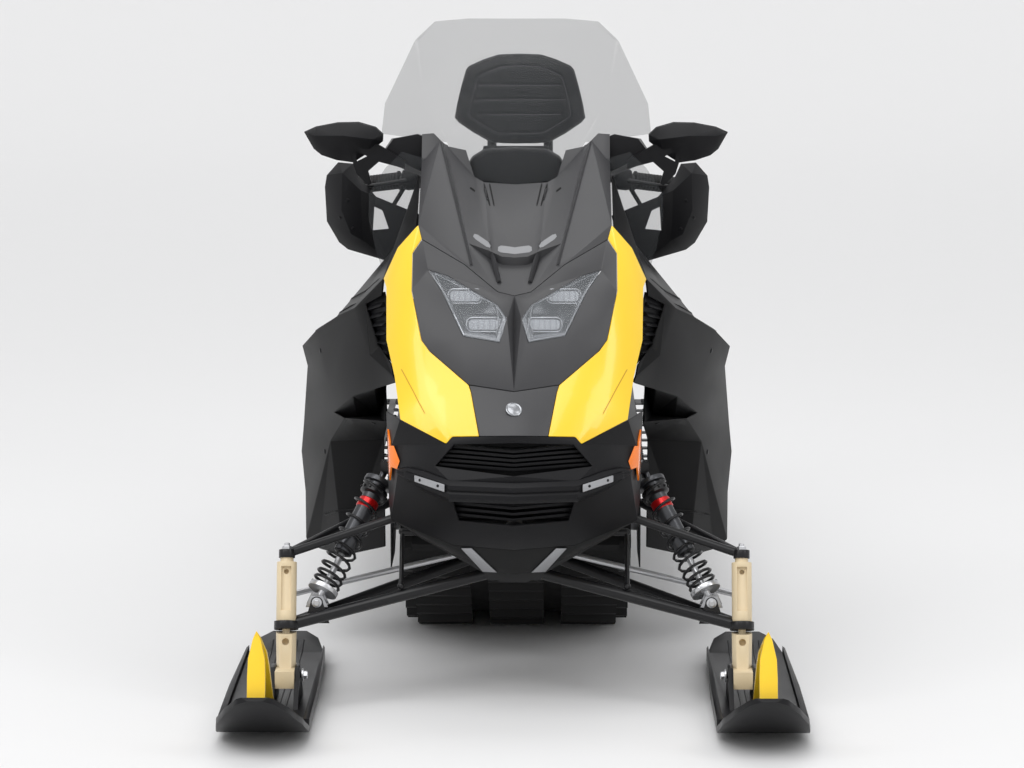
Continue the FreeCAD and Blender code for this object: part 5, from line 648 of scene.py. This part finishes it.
def dress_dash():
    """The gauge with its bezel and visor, a row of keys and a tank cap."""
    bezel, screen, keys, cap = fresh(4)
    place, normal = from_above("instrument_hood", 0, GAUGE_Y)
    side, up = LEFTWARDS, normal.cross(LEFTWARDS)
    ring = [place + side * a * MM + up * b * MM for a, b in rounded_outline(66, 34, 14)]
    add_tube(bezel, ring, 4.5, 10, closed=True)
    face = [place + side * a * MM + up * b * MM - normal * MM for a, b in rounded_outline(64, 32, 12)]
    add_prism(screen, face, normal * 3 * MM)
    piece("gauge_bezel", bezel, "black_plastic")
    visor = lofted_mesh([[spot(x * share, y, z + rise) for x, z in VISOR] for y, share, rise in VISOR_RINGS])
    piece("gauge_visor", visor, "black_plastic", bevel=3.0)
    piece("gauge_screen", screen, "black_plastic", look="screen")
    for x in KEY_SPOTS:
        place, out = from_above("console", x, KEY_Y)
        add_turned(keys, place, out, ((-2, 9), (3, 9), (5, 7.6)), 20)
    piece("dash_keys", keys, "wheel_plastic")
    place, out = from_above("console", 0, TANK_CAP_Y)
    add_turned(cap, place, out, TANK_CAP_PROFILE, 40)
    for i in range(TANK_CAP_RIDGES):
        turn = math.tau * i / TANK_CAP_RIDGES
        ridge = place + Vector((math.cos(turn), math.sin(turn), 0)) * 38 * MM + out * 9 * MM
        add_turned(cap, ridge, out, ((-4, 4), (5, 4), (7, 2.6)), 10)
    piece("tank_cap", cap, "black_plastic")


# Upholstery
# For each station: its y, half the width low down and on top, and the height of its bottom and top
SEAT_STATIONS = (
    (-56, 92, 56, 650, 733), (-40, 106, 72, 640, 748), (0, 128, 92, 634, 756),
    (60, 148, 108, 628, 757), (140, 164, 124, 624, 751), (230, 174, 138, 622, 747),
    (300, 180, 146, 623, 748), (338, 183, 150, 624, 758), (368, 184, 151, 626, 790),
    (400, 185, 151, 628, 811), (450, 186, 152, 630, 817), (560, 186, 152, 632, 817),
    (660, 185, 151, 634, 815), (720, 182, 147, 638, 812), (758, 174, 138, 648, 801),
    (776, 158, 118, 664, 780),
)
SEAT_POINTS = 30
SEAT_VOXEL = 7.5
SEAT_HELD_BELOW = 0.642
SEAT_RAY_TOP = 1400
SEAT_RAY_SIDE = 600
# Seams across the seat as y and half length; along it as x, first y, last y and steps
CROSS_SEAMS = ((120, 118), (300, 138), (430, 138), (700, 138))
LONG_SEAMS = ((58, 124, 296, 10), (66, 434, 696, 12))
SEAT_PINS = (60, 240, 430, 620)
CLOTH_FRAMES = 20
CLOTH_SETTINGS = {
    "quality": 5, "mass": 0.4, "use_pressure": True, "uniform_pressure_force": 4.0, "tension_stiffness": 30,
    "compression_stiffness": 30, "shear_stiffness": 10, "bending_stiffness": 6, "vertex_group_mass": "held",
}
SWELL_CAP = 9
SEAM_REACH = 5


def ring_at(y, half_low, half_top, low, top):
    """A cushion's cross-section: flat below, sides leaning in, a crowned top."""
    points = []
    waist = low + (top - low) * 0.42
    for i in range(SEAT_POINTS):
        turn = math.tau * i / SEAT_POINTS
        x, z = math.cos(turn), math.sin(turn)
        if z >= 0:
            wide = half_low + (half_top - half_low) * z ** 1.4 * 0.55
            reach, height = abs(x) ** 0.55, waist + (top - waist) * z ** 0.62
        else:
            wide = half_low - (-z) ** 3 * 8
            reach, height = abs(x) ** 0.35, waist - (waist - low) * (-z) ** 0.5
        points.append(spot(math.copysign(reach, x) * wide, y, height))
    return points


def apply_all(item):
    """Bake an object's modifiers into its mesh."""
    graph = bpy.context.evaluated_depsgraph_get()
    graph.update()
    baked = bpy.data.meshes.new_from_object(item.evaluated_get(graph))
    item.modifiers.clear()
    old = item.data
    item.data = baked
    bpy.data.meshes.remove(old)


def relax_mesh(item, times):
    """Smooth an object's mesh, after the modifiers that it already has."""
    relax = item.modifiers.new("Relax", "SMOOTH")
    relax.factor = 0.5
    relax.iterations = times
    apply_all(item)


def puffed(name, bm, voxel, held):
    """A stuffed form: remeshed, blown up as cloth with its held points pinned, and its swelling capped."""
    item = linked(name, bm)
    remesh = item.modifiers.new("Remesh", "REMESH")
    remesh.mode = "VOXEL"
    remesh.voxel_size = voxel * MM
    remesh.use_smooth_shade = True
    relax_mesh(item, 6)
    before = [point.co.copy() for point in item.data.vertices]
    group = item.vertex_groups.new(name="held")
    group.add([point.index for point in item.data.vertices if held(point.co)], 1.0, "REPLACE")
    cloth = item.modifiers.new("Cloth", "CLOTH")
    for setting, value in CLOTH_SETTINGS.items():
        setattr(cloth.settings, setting, value)
    cloth.settings.effector_weights.gravity = 0
    cloth.collision_settings.use_collision = False
    cloth.point_cache.frame_start = 1
    cloth.point_cache.frame_end = CLOTH_FRAMES
    for frame_number in range(1, CLOTH_FRAMES + 1):
        bpy.context.scene.frame_set(frame_number)
    apply_all(item)
    for point, start in zip(item.data.vertices, before):
        swell = point.co - start
        if swell.length > SWELL_CAP * MM:
            point.co = start + swell * (SWELL_CAP * MM / swell.length)
    bpy.context.scene.frame_set(1)
    relax_mesh(item, 4)
    fine = item.modifiers.new("Subdivision", "SUBSURF")
    fine.levels = fine.render_levels = 1
    apply_all(item)
    for face in item.data.polygons:
        face.use_smooth = True
    item.data.materials.clear()
    item.data.materials.append(MATERIALS["seat_vinyl"])
    return item


def press_seams(item, lines, depth):
    """Pull the mesh in along sewn lines; a line is a run of points on the surface."""
    segments = []
    for line in lines:
        segments += list(zip(line, line[1:]))
    lows = [Vector((min(a[i], b[i]) for i in range(3))) for a, b in segments]
    highs = [Vector((max(a[i], b[i]) for i in range(3))) for a, b in segments]
    near = SEAM_REACH * 2.2 * MM
    normals = [point.normal.copy() for point in item.data.vertices]
    for point, normal in zip(item.data.vertices, normals):
        here = point.co
        best = near
        for (a, b), low, high in zip(segments, lows, highs):
            if any(here[i] < low[i] - near or here[i] > high[i] + near for i in range(3)):
                continue
            run = b - a
            share = max(0, min(1, (here - a).dot(run) / run.length_squared))
            best = min(best, (here - a - run * share).length)
        if best < near:
            point.co = here - normal * depth * MM * math.exp(-(best / (SEAM_REACH * MM)) ** 2 * 1.6)


def on_mesh(item, start, aim):
    """Where a ray meets a made mesh, and the mesh's direction there."""
    found, place, normal, _ = item.ray_cast(start, aim)
    if not found:
        raise RuntimeError("nothing of %s from %s" % (item.name, tuple(start)))
    return place, normal


def seat_line(item, pairs):
    """Points on top of a cushion for pairs of x and y."""
    return [on_mesh(item, spot(x, y, SEAT_RAY_TOP), DOWN)[0] for x, y in pairs]


def side_line(item, pairs, side):
    """Points on a cushion's side for pairs of y and z."""
    return [on_mesh(item, spot(side * SEAT_RAY_SIDE, y, z), Vector((-side, 0, 0)))[0] for y, z in pairs]


def stitches(bm, line, gap=7.0, length=4.0, radius=0.7):
    """A row of thread stitches along a line."""
    walked = 0.0
    for a, b in zip(line, line[1:]):
        run = b - a
        span = run.length / MM
        if span < 1e-6:
            continue
        along = run / run.length
        reach = gap - walked % gap
        while reach < span:
            start = a + along * reach * MM
            add_tube(bm, [start, start + along * length * MM], radius, 4)
            reach += gap
        walked += span


def make_seat_cushion():
    """The two-up seat: a stepped cushion with piping, panel seams and thread on a moulded base."""
    rings = [ring_at(*station) for station in SEAT_STATIONS]
    item = puffed("seat_cushion", lofted_mesh(rings), SEAT_VOXEL, lambda co: co.z < SEAT_HELD_BELOW)
    edge = []
    for way in (1, -1):
        run = [(way * (half_top * 0.93 - 4), y) for y, _, half_top, _, _ in SEAT_STATIONS[1:-1]]
        edge.append(seat_line(item, run))
    sewn = [seat_line(item, [(x, y) for x in steps_between(-half, half, 18)]) for y, half in CROSS_SEAMS]
    for half, start, end, count in LONG_SEAMS:
        for x in (-half, half):
            sewn.append(seat_line(item, [(x, y) for y in steps_between(start, end, count)]))
    flank = [(y, 690 + ramp(y, 330, 70) * 22) for y in steps_between(0, 740, 30)]
    press_seams(item, edge + sewn + [side_line(item, flank, side) for side in (1, -1)], 3.2)
    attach(item, "chassis")
    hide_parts("seat")
    piping, thread, pins = fresh(3)
    for line in edge:
        add_tube(piping, [point + move(0, 0, 0.2) for point in line], 2.6, 8)
    for line in sewn:
        runs_across = abs(line[0].y - line[-1].y) < 1e-4
        for shift in (-5, 5):
            offset = move(0, shift, 0) if runs_across else move(shift, 0, 0)
            row = []
            for point in line:
                start = Vector((point.x, point.y, SEAT_RAY_TOP * MM)) + offset
                place, normal = on_mesh(item, start, DOWN)
                row.append(place + normal * 0.2 * MM)
            stitches(thread, row)
    piece("seat_piping", piping, "seat_vinyl", look="piping")
    piece("seat_thread", thread, "seat_vinyl", look="thread")
    rings = []
    for y, half_low, _, low, _ in SEAT_STATIONS:
        floor_z = 512 + ramp(y, -60, 840) * 26 + 3
        half = half_low - 7
        top = low + 12
        flank = [(half, top), (half + 3, top - 16), (half - 2, floor_z + 34), (half - 14, floor_z + 4),
                 (half - 22, floor_z)]
        rings.append([spot(x, y * 0.995 + 1, z) for x, z in mirrored(flank)])
    base = piece("seat_base", lofted_mesh(rings), "black_plastic", bevel=2.5)
    for side in (1, -1):
        for y in SEAT_PINS:
            place, normal = on_mesh(base, spot(side * SEAT_RAY_SIDE, y, 590), Vector((-side, 0, 0)))
            add_rivet(pins, place, normal, 6)
    piece("seat_base_pins", pins, "black_plastic")


PAD_HALF = (
    (0, 1042), (40, 1042), (76, 1045), (120, 1070), (158, 1096), (166, 1106), (160, 1140),
    (148, 1190), (137, 1228), (130, 1237), (92, 1254), (54, 1266), (0, 1268),
)
PAD_OUTLINE = list(PAD_HALF) + [(-x, z) for x, z in reversed(PAD_HALF[1:-1])]
PAD_MIDDLE = 1155
# Rings as their y and share of the outline; channels as their z and half length
PAD_RINGS = ((876, 0.93), (860, 0.99), (842, 1.0), (830, 0.94), (824, 0.82))
SHELL_RINGS = ((872, 0.95), (884, 0.95), (889.5, 0.88))
PIPING_RING = (866, 0.985)
PAD_CHANNELS = ((1118, 104), (1155, 112), (1192, 100))
PAD_VOXEL = 5.5
PAD_HELD_BEHIND = 0.868


def pad_ring(y, share):
    """The backrest's outline at one depth, drawn in about its middle."""
    return [spot(x * share, y, PAD_MIDDLE + (z - PAD_MIDDLE) * share) for x, z in PAD_OUTLINE]


def make_back_pad():
    """The passenger's backrest: a shield-shaped pad with piping and a sewn centre panel on a hard shell."""
    rings = [pad_ring(*ring) for ring in PAD_RINGS]
    item = puffed("backrest_pad", lofted_mesh(rings), PAD_VOXEL, lambda co: co.y > PAD_HELD_BEHIND)

    def front(x, z):
        return on_mesh(item, spot(x, 600, z), BACKWARDS)[0]
    border = [front(x * 0.78, PAD_MIDDLE + (z - PAD_MIDDLE) * 0.76) for x, z in PAD_OUTLINE]
    sewn = [border + [border[0]]]
    sewn += [[front(x, z) for x in steps_between(-half, half, 12)] for z, half in PAD_CHANNELS]
    press_seams(item, sewn, 3.0)
    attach(item, "chassis")
    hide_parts("backrest")
    piping, thread = fresh(2)
    add_tube(piping, pad_ring(*PIPING_RING), 3.0, 8, closed=True)
    for line in sewn:
        stitches(thread, [point - move(0, 0.4, 0) for point in line])
    piece("backrest_piping", piping, "seat_vinyl", look="piping")
    piece("backrest_thread", thread, "seat_vinyl", look="thread")
    shell = lofted_mesh([pad_ring(*ring) for ring in SHELL_RINGS])
    piece("backrest_shell", shell, "black_plastic", bevel=2.0)


# Front suspension and skis
SKI_BODIES = (("ski_left", 1), ("ski_right", -1))
SPINDLE_TOP = (477, -1060, 326)
SPINDLE_LOW = (477, -1105, 182)
SHOCK_FOOT = (414, -1060, 226)
SHOCK_TOP = (272, -900, 486)
FRAME_PLATE = ((110, -1140, 354), (88, -1144, 355), (36, -1060, 288), (66, -1066, 291))
SHOCK_LUG = ((-24, -10), (24, -10), (13, 14), (-13, 14))
ADJUSTER_PROFILE = ((-44, 20.6), (-42, 22), (-24, 22), (-22, 20.6))
LOWER_COLLAR = ((0, 12), (2, 16), (9, 16), (11, 12))
UPPER_COLLAR = ((0, 24), (3, 29), (16, 29), (19, 25))
COLLAR_KNOBS = 12


def dress_front_end():
    """Silver plates and lugs, bolts, red adjusters and dark spring collars on the frame and the shocks."""
    silver, bolts, red, dark = fresh(4)
    for side in SIDES:
        add_prism(silver, [spot_on(side, point) for point in FRAME_PLATE], move(0, -3.5, -1))
        foot = spot_on(side, SHOCK_FOOT)
        top = spot_on(side, SHOCK_TOP)
        along = (top - foot).normalized()
        across = along.cross(BACKWARDS).normalized()
        for way in (-1, 1):
            base = foot + move(0, way * 17, 0)
            points = [base + move(a, 0, b) for a, b in SHOCK_LUG]
            add_prism(silver, points, move(0, way * 4, 0))
            add_bolt(bolts, base + move(0, way * 4, 0), Vector((0, way, 0)), 7)
        add_turned(red, top - along * 64 * MM, along, ADJUSTER_PROFILE, 24)
        add_turned(dark, foot + along * 116 * MM, along, LOWER_COLLAR, 24)
        add_turned(dark, top - along * 74 * MM, along, UPPER_COLLAR, 28)
        for i in range(COLLAR_KNOBS):
            turn = math.tau * i / COLLAR_KNOBS
            out = across * math.cos(turn) + along.cross(across) * math.sin(turn)
            add_turned(dark, top - along * 65 * MM + out * 27 * MM, out, ((0, 3), (4, 3), (5, 2)), 6)
    piece("frame_plates", silver, "cast_alloy", bevel=1.0)
    piece("suspension_bolts", bolts, "bare_steel")
    piece("shock_adjusters", red, "black_steel", look="red_anodise")
    piece("spring_collars", dark, "black_steel")


# A washer, a hex nut and a stud: how far above the spindle's top, profile and number of sides
SPINDLE_NUT = (
    (2, ((0, 15), (3, 15), (4, 12)), 24), (6, ((0, 10.5), (9, 10.5), (10.5, 9)), 6),
    (16, ((0, 6), (6, 6), (7, 4.6)), 16),
)


def dress_spindles():
    """The nut and stud on each spindle's top, which turn with the ski."""
    for name, side in SKI_BODIES:
        top = spot_on(side, SPINDLE_TOP)
        along = (top - spot_on(side, SPINDLE_LOW)).normalized()
        nuts = bmesh.new()
        for rise, profile, count in SPINDLE_NUT:
            add_turned(nuts, top + along * rise * MM, along, profile, count)
        piece("spindle_nut_" + name[4:], nuts, "bare_steel", name)


SKI_X = 508
SKI_RAY_TOP = 900
SKI_RIBS = (-34, -20, 20, 34)
SKI_LUGS = ((-15, -1535), (-15, -1518), (15, -1535), (15, -1518))
SADDLE_BOLT = (477, -1130, 82)


def dress_skis():
    """Ribs, the loops' lugs and the saddle bolts on each ski."""
    for name, side in SKI_BODIES:
        ribs, lugs, bolts = fresh(3)
        for x in SKI_RIBS:
            line = []
            for y in steps_between(-1400, -560, 24):
                for place, _ in hits(name, spot(side * (SKI_X + x), y, SKI_RAY_TOP), DOWN):
                    if place.z < 0.09:
                        line.append(place + move(0, 0, 0.2))
            if len(line) > 2:
                add_tube(ribs, line, 2.2, 6)
        for x, y in SKI_LUGS:
            for place, normal in hits(name, spot(side * (SKI_X + x), y, SKI_RAY_TOP), DOWN):
                add_rivet(lugs, place, normal, 5)
        x, y, z = SADDLE_BOLT
        for way in (-1, 1):
            for place, _ in hits(name, spot(side * x + way * 300, y, z), Vector((-way, 0, 0))):
                add_bolt(bolts, place, Vector((way, 0, 0)), 9)
        piece("ski_ribs_" + name[4:], ribs, "ski_plastic", name)
        piece("ski_lugs_" + name[4:], lugs, "black_plastic", name)
        piece("saddle_bolts_" + name[4:], bolts, "bare_steel", name)


def node_axis(node):
    """The two ends of a long node's middle line, from the points within 20 mm of each end."""
    points = [point.co for point in node.data.vertices]
    low = min(point.x for point in points)
    high = max(point.x for point in points)
    ends = []
    for near in (low, high):
        close = [point for point in points if abs(point.x - near) < 0.02]
        ends.append(sum(close, Vector((0, 0, 0))) / len(close))
    return ends


def dress_rods():
    """Jam nuts near both ends of the tie rods."""
    for name in ("tie_rod_left", "tie_rod_right"):
        start, end = node_axis(NODES[name])
        nuts = bmesh.new()
        for share in (0.16, 0.84):
            centre = start + (end - start) * share
            add_turned(nuts, centre, (end - start).normalized(), ((-5, 9), (-4, 10.5), (4, 10.5), (5, 9)), 6)
        piece(name + "_nuts", nuts, "bare_steel", name)


# Track, boards and rear
CLIP_ROWS = (-92, 92)
CLIP_OUTLINE = ((-15, -9), (15, -9), (15, 9), (-15, 9))
TOOTH_ROWS = (268, 296, 324, 352, 380)
TOOTH_PITCH = 28
TOOTH_STAGGER = 11
TOOTH_PROFILE = ((0, 7), (0.9, 7), (3.0, 5.2), (3.0, 4.2), (0.5, 3.6))


def dress_track():
    """Steel clips along the belt's lower run."""
    clips = bmesh.new()
    for x in CLIP_ROWS:
        for y in steps_between(-560, 980, 22):
            for place, _ in hits("track", spot(x, y, 330), DOWN):
                if place.z < 0.12:
                    points = [place + move(a, b, 0.2) for a, b in CLIP_OUTLINE]
                    add_prism(clips, points, move(0, 0, 2.4))
    piece("track_clips", clips, "bare_steel", bevel=0.8)


def dress_boards():
    """Punched grip teeth along the running boards."""
    teeth = bmesh.new()
    for side in SIDES:
        for y in steps_between(-120, 1180, 44):
            for x in TOOTH_ROWS:
                shift = TOOTH_STAGGER if (x // TOOTH_PITCH) % 2 else 0
                for place, normal in hits("running_boards", spot(side * x, y + shift, 700), DOWN):
                    if normal.z > 0.85 and place.z < 0.36:
                        add_turned(teeth, place - move(0, 0, 0.3), UP, TOOTH_PROFILE, 10)
    piece("board_teeth", teeth, "alu_black")


LENS_RIBS = 16
FLAP_RIBS = 5
FLAP_RIB_PITCH = 36
FLAP_BOLTS = (-150, -50, 50, 150)
REAR_RAY = 2400


def dress_rear():
    """Tail lens ribs, and ribs and bolts on the flap."""
    ribs, bolts, flap = fresh(3)
    low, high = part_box("tail_light")
    span = high.x - low.x
    for i in range(1, LENS_RIBS):
        x = low.x + span * i / LENS_RIBS
        for place, _ in hits("tail_light", Vector((x, 3, (low.z + high.z) / 2)), FORWARDS):
            ends = [Vector((x, place.y, low.z + 4 * MM)), Vector((x, place.y, high.z - 4 * MM))]
            add_tube(ribs, ends, 1.2, 6)
    piece("tail_ribs", ribs, "tail_lens")
    low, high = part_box("snow_flap")
    for i in range(-FLAP_RIBS, FLAP_RIBS + 1):
        line = []
        for z in steps_between(low.z / MM + 18, high.z / MM - 40, 12):
            line += [place for place, _ in hits("snow_flap", spot(i * FLAP_RIB_PITCH, REAR_RAY, z), FORWARDS)]
        if len(line) > 2:
            add_tube(flap, line, 2.6, 8)
    piece("flap_ribs", flap, "flap_rubber")
    for x in FLAP_BOLTS:
        for place, _ in hits("snow_flap", spot(x, REAR_RAY, high.z / MM - 22), FORWARDS):
            add_bolt(bolts, place, BACKWARDS, 7)
    piece("flap_bolts", bolts, "bare_steel")


PANEL_PINS = ((-620, 700), (-380, 640), (-250, 560), (-760, 560), (-520, 460))
LATCH_SPOT = (-430, 790)
LATCH_PROFILE = ((-2, 17), (2, 17), (3, 15), (2, 13), (2, 6), (6, 5), (7, 3))
TUNNEL_PIN_HEIGHT = 470
PANEL_RUNS = (
    ((-800, 880), (-620, 800), (-360, 770)), ((-760, 820), (-600, 740), (-350, 700)),
    ((-640, 420), (-520, 330), (-420, 300)),
)


def dress_sides():
    """Latches, push pins and raised ribs on the side panels, and pins on the tunnel's flanks."""
    latches, pins, ribs = fresh(3)
    for side in SIDES:
        panel = "side_panel_left" if side > 0 else "side_panel_right"
        for y, z in PANEL_PINS:
            for place, normal in from_flank(panel, side, y, z):
                add_rivet(pins, place, normal, 6)
        for place, normal in from_flank(panel, side, *LATCH_SPOT):
            add_turned(latches, place, normal, LATCH_PROFILE, 26)
        for y in steps_between(80, 1120, 13):
            for place, normal in from_flank("tunnel", side, y, TUNNEL_PIN_HEIGHT):
                add_rivet(pins, place, normal, 4)
        for run in PANEL_RUNS:
            line = []
            for (y0, z0), (y1, z1) in zip(run, run[1:]):
                for share in steps_between(0, 1, 12):
                    for place, _ in from_flank(panel, side, y0 + (y1 - y0) * share, z0 + (z1 - z0) * share):
                        line.append(place - move(side * 1.2, 0, 0))
            if len(line) > 3:
                add_tube(ribs, line, [1.2] + [3.2] * (len(line) - 2) + [1.2], 8)
    piece("panel_ribs", ribs, "black_gloss")
    piece("panel_latches", latches, "black_plastic")
    piece("panel_pins", pins, "black_plastic")


# Stage, light and camera; from here on lengths are in metres
FLOOR_REACH = 40.0
WALL_START = 12.0
WALL_BEND = 6.0
BEND_STEPS = 12
PAPER = (0.775, 0.775, 0.78)
WORLD_LIGHT = 0.6
WORLD_SEEN = 0.84
WHITE = (1, 1, 1, 1)
LIGHT_TARGET = (0, -0.6, 0.7)
# Soft boxes: name, place, size and power
BOXES = (
    ("box_left", (3.6, -3.2, 3.6), (1.2, 3.2), 42), ("box_right", (-3.6, -3.2, 3.6), (1.2, 3.2), 42),
    ("box_top", (0, 0.4, 4.6), (2.6, 2.2), 30),
)
LENS = 141.0
CAMERA_PLACE = (0.064, -9.35, 1.828)
CAMERA_DOWN = 7.84
CAMERA_TURN = 0.00827


def set_stage():
    """A pale floor that runs up into a backdrop."""
    mesh = bpy.data.meshes.new("stage_floor")
    reach, wall = FLOOR_REACH, WALL_START
    points = [(-reach, -reach, 0), (reach, -reach, 0), (reach, wall, 0), (-reach, wall, 0)]
    for step in range(1, BEND_STEPS + 1):
        turn = math.pi / 2 * step / BEND_STEPS
        y = wall + WALL_BEND * math.sin(turn)
        z = WALL_BEND * (1 - math.cos(turn))
        points += [(reach, y, z), (-reach, y, z)]
    points += [(reach, wall + WALL_BEND, reach), (-reach, wall + WALL_BEND, reach)]
    faces = [(0, 1, 2, 3)]
    last = (3, 2)
    for step in range(BEND_STEPS + 1):
        right = 4 + 2 * step
        faces.append((last[0], last[1], right, right + 1))
        last = (right + 1, right)
    mesh.from_pydata(points, [], faces)
    floor = bpy.data.objects.new("stage_floor", mesh)
    bpy.context.scene.collection.objects.link(floor)
    for face in mesh.polygons:
        face.use_smooth = True
    mesh.materials.append(material("stage_paper", PAPER, 0.75, vary=0.0))


def set_light():
    """Soft studio light: a bright surround, one broad sun, two long boxes for the sheen and one above."""
    scene = bpy.context.scene
    scene.view_settings.view_transform = "Standard"
    world = bpy.data.worlds.new("studio")
    world.use_nodes = True
    scene.world = world
    tree = world.node_tree
    new, link = tree.nodes.new, tree.links.new
    lit = tree.nodes["Background"]
    seen = new("ShaderNodeBackground")
    fill(lit, {"Color": WHITE, "Strength": WORLD_LIGHT})
    fill(seen, {"Color": WHITE, "Strength": WORLD_SEEN})
    path = new("ShaderNodeLightPath")
    either = path.outputs["Is Camera Ray"]
    for ray in ("Is Glossy Ray", "Is Transmission Ray"):
        larger = new("ShaderNodeMath")
        larger.operation = "MAXIMUM"
        link(either, larger.inputs[0])
        link(path.outputs[ray], larger.inputs[1])
        either = larger.outputs[0]
    pick = new("ShaderNodeMixShader")
    link(either, pick.inputs["Fac"])
    link(lit.outputs[0], pick.inputs[1])
    link(seen.outputs[0], pick.inputs[2])
    link(pick.outputs[0], tree.nodes["World Output"].inputs["Surface"])
    sun = bpy.data.lights.new("sun", "SUN")
    sun.energy = 1.3
    sun.angle = math.radians(50)
    lamp = bpy.data.objects.new("sun", sun)
    lamp.rotation_euler = (math.radians(28), math.radians(-12), 0)
    scene.collection.objects.link(lamp)
    for name, place, size, power in BOXES:
        light = bpy.data.lights.new(name, "AREA")
        light.shape = "RECTANGLE"
        light.size, light.size_y = size
        light.energy = power
        item = bpy.data.objects.new(name, light)
        item.location = place
        aim = Vector(LIGHT_TARGET) - Vector(place)
        item.rotation_euler = aim.to_track_quat("-Z", "Y").to_euler()
        scene.collection.objects.link(item)


def set_camera():
    """The photograph's viewpoint: far off and long, a little above the bonnet, looking down 7.8 degrees."""
    data = bpy.data.cameras.new("camera")
    data.lens = LENS
    data.sensor_width = 36.0
    data.clip_end = 200.0
    camera = bpy.data.objects.new("camera", data)
    camera.location = CAMERA_PLACE
    camera.rotation_euler = (math.radians(90 - CAMERA_DOWN), 0, CAMERA_TURN)
    bpy.context.scene.collection.objects.link(camera)
    bpy.context.scene.camera = camera


set_camera()
dress_nodes()
dress_lamps()
dress_cowl()
dress_bumper()
dress_mirrors()
dress_handlebar()
dress_dash()
make_seat_cushion()
make_back_pad()
dress_front_end()
dress_spindles()
dress_skis()
dress_rods()
dress_track()
dress_boards()
dress_rear()
dress_sides()
set_stage()
set_light()
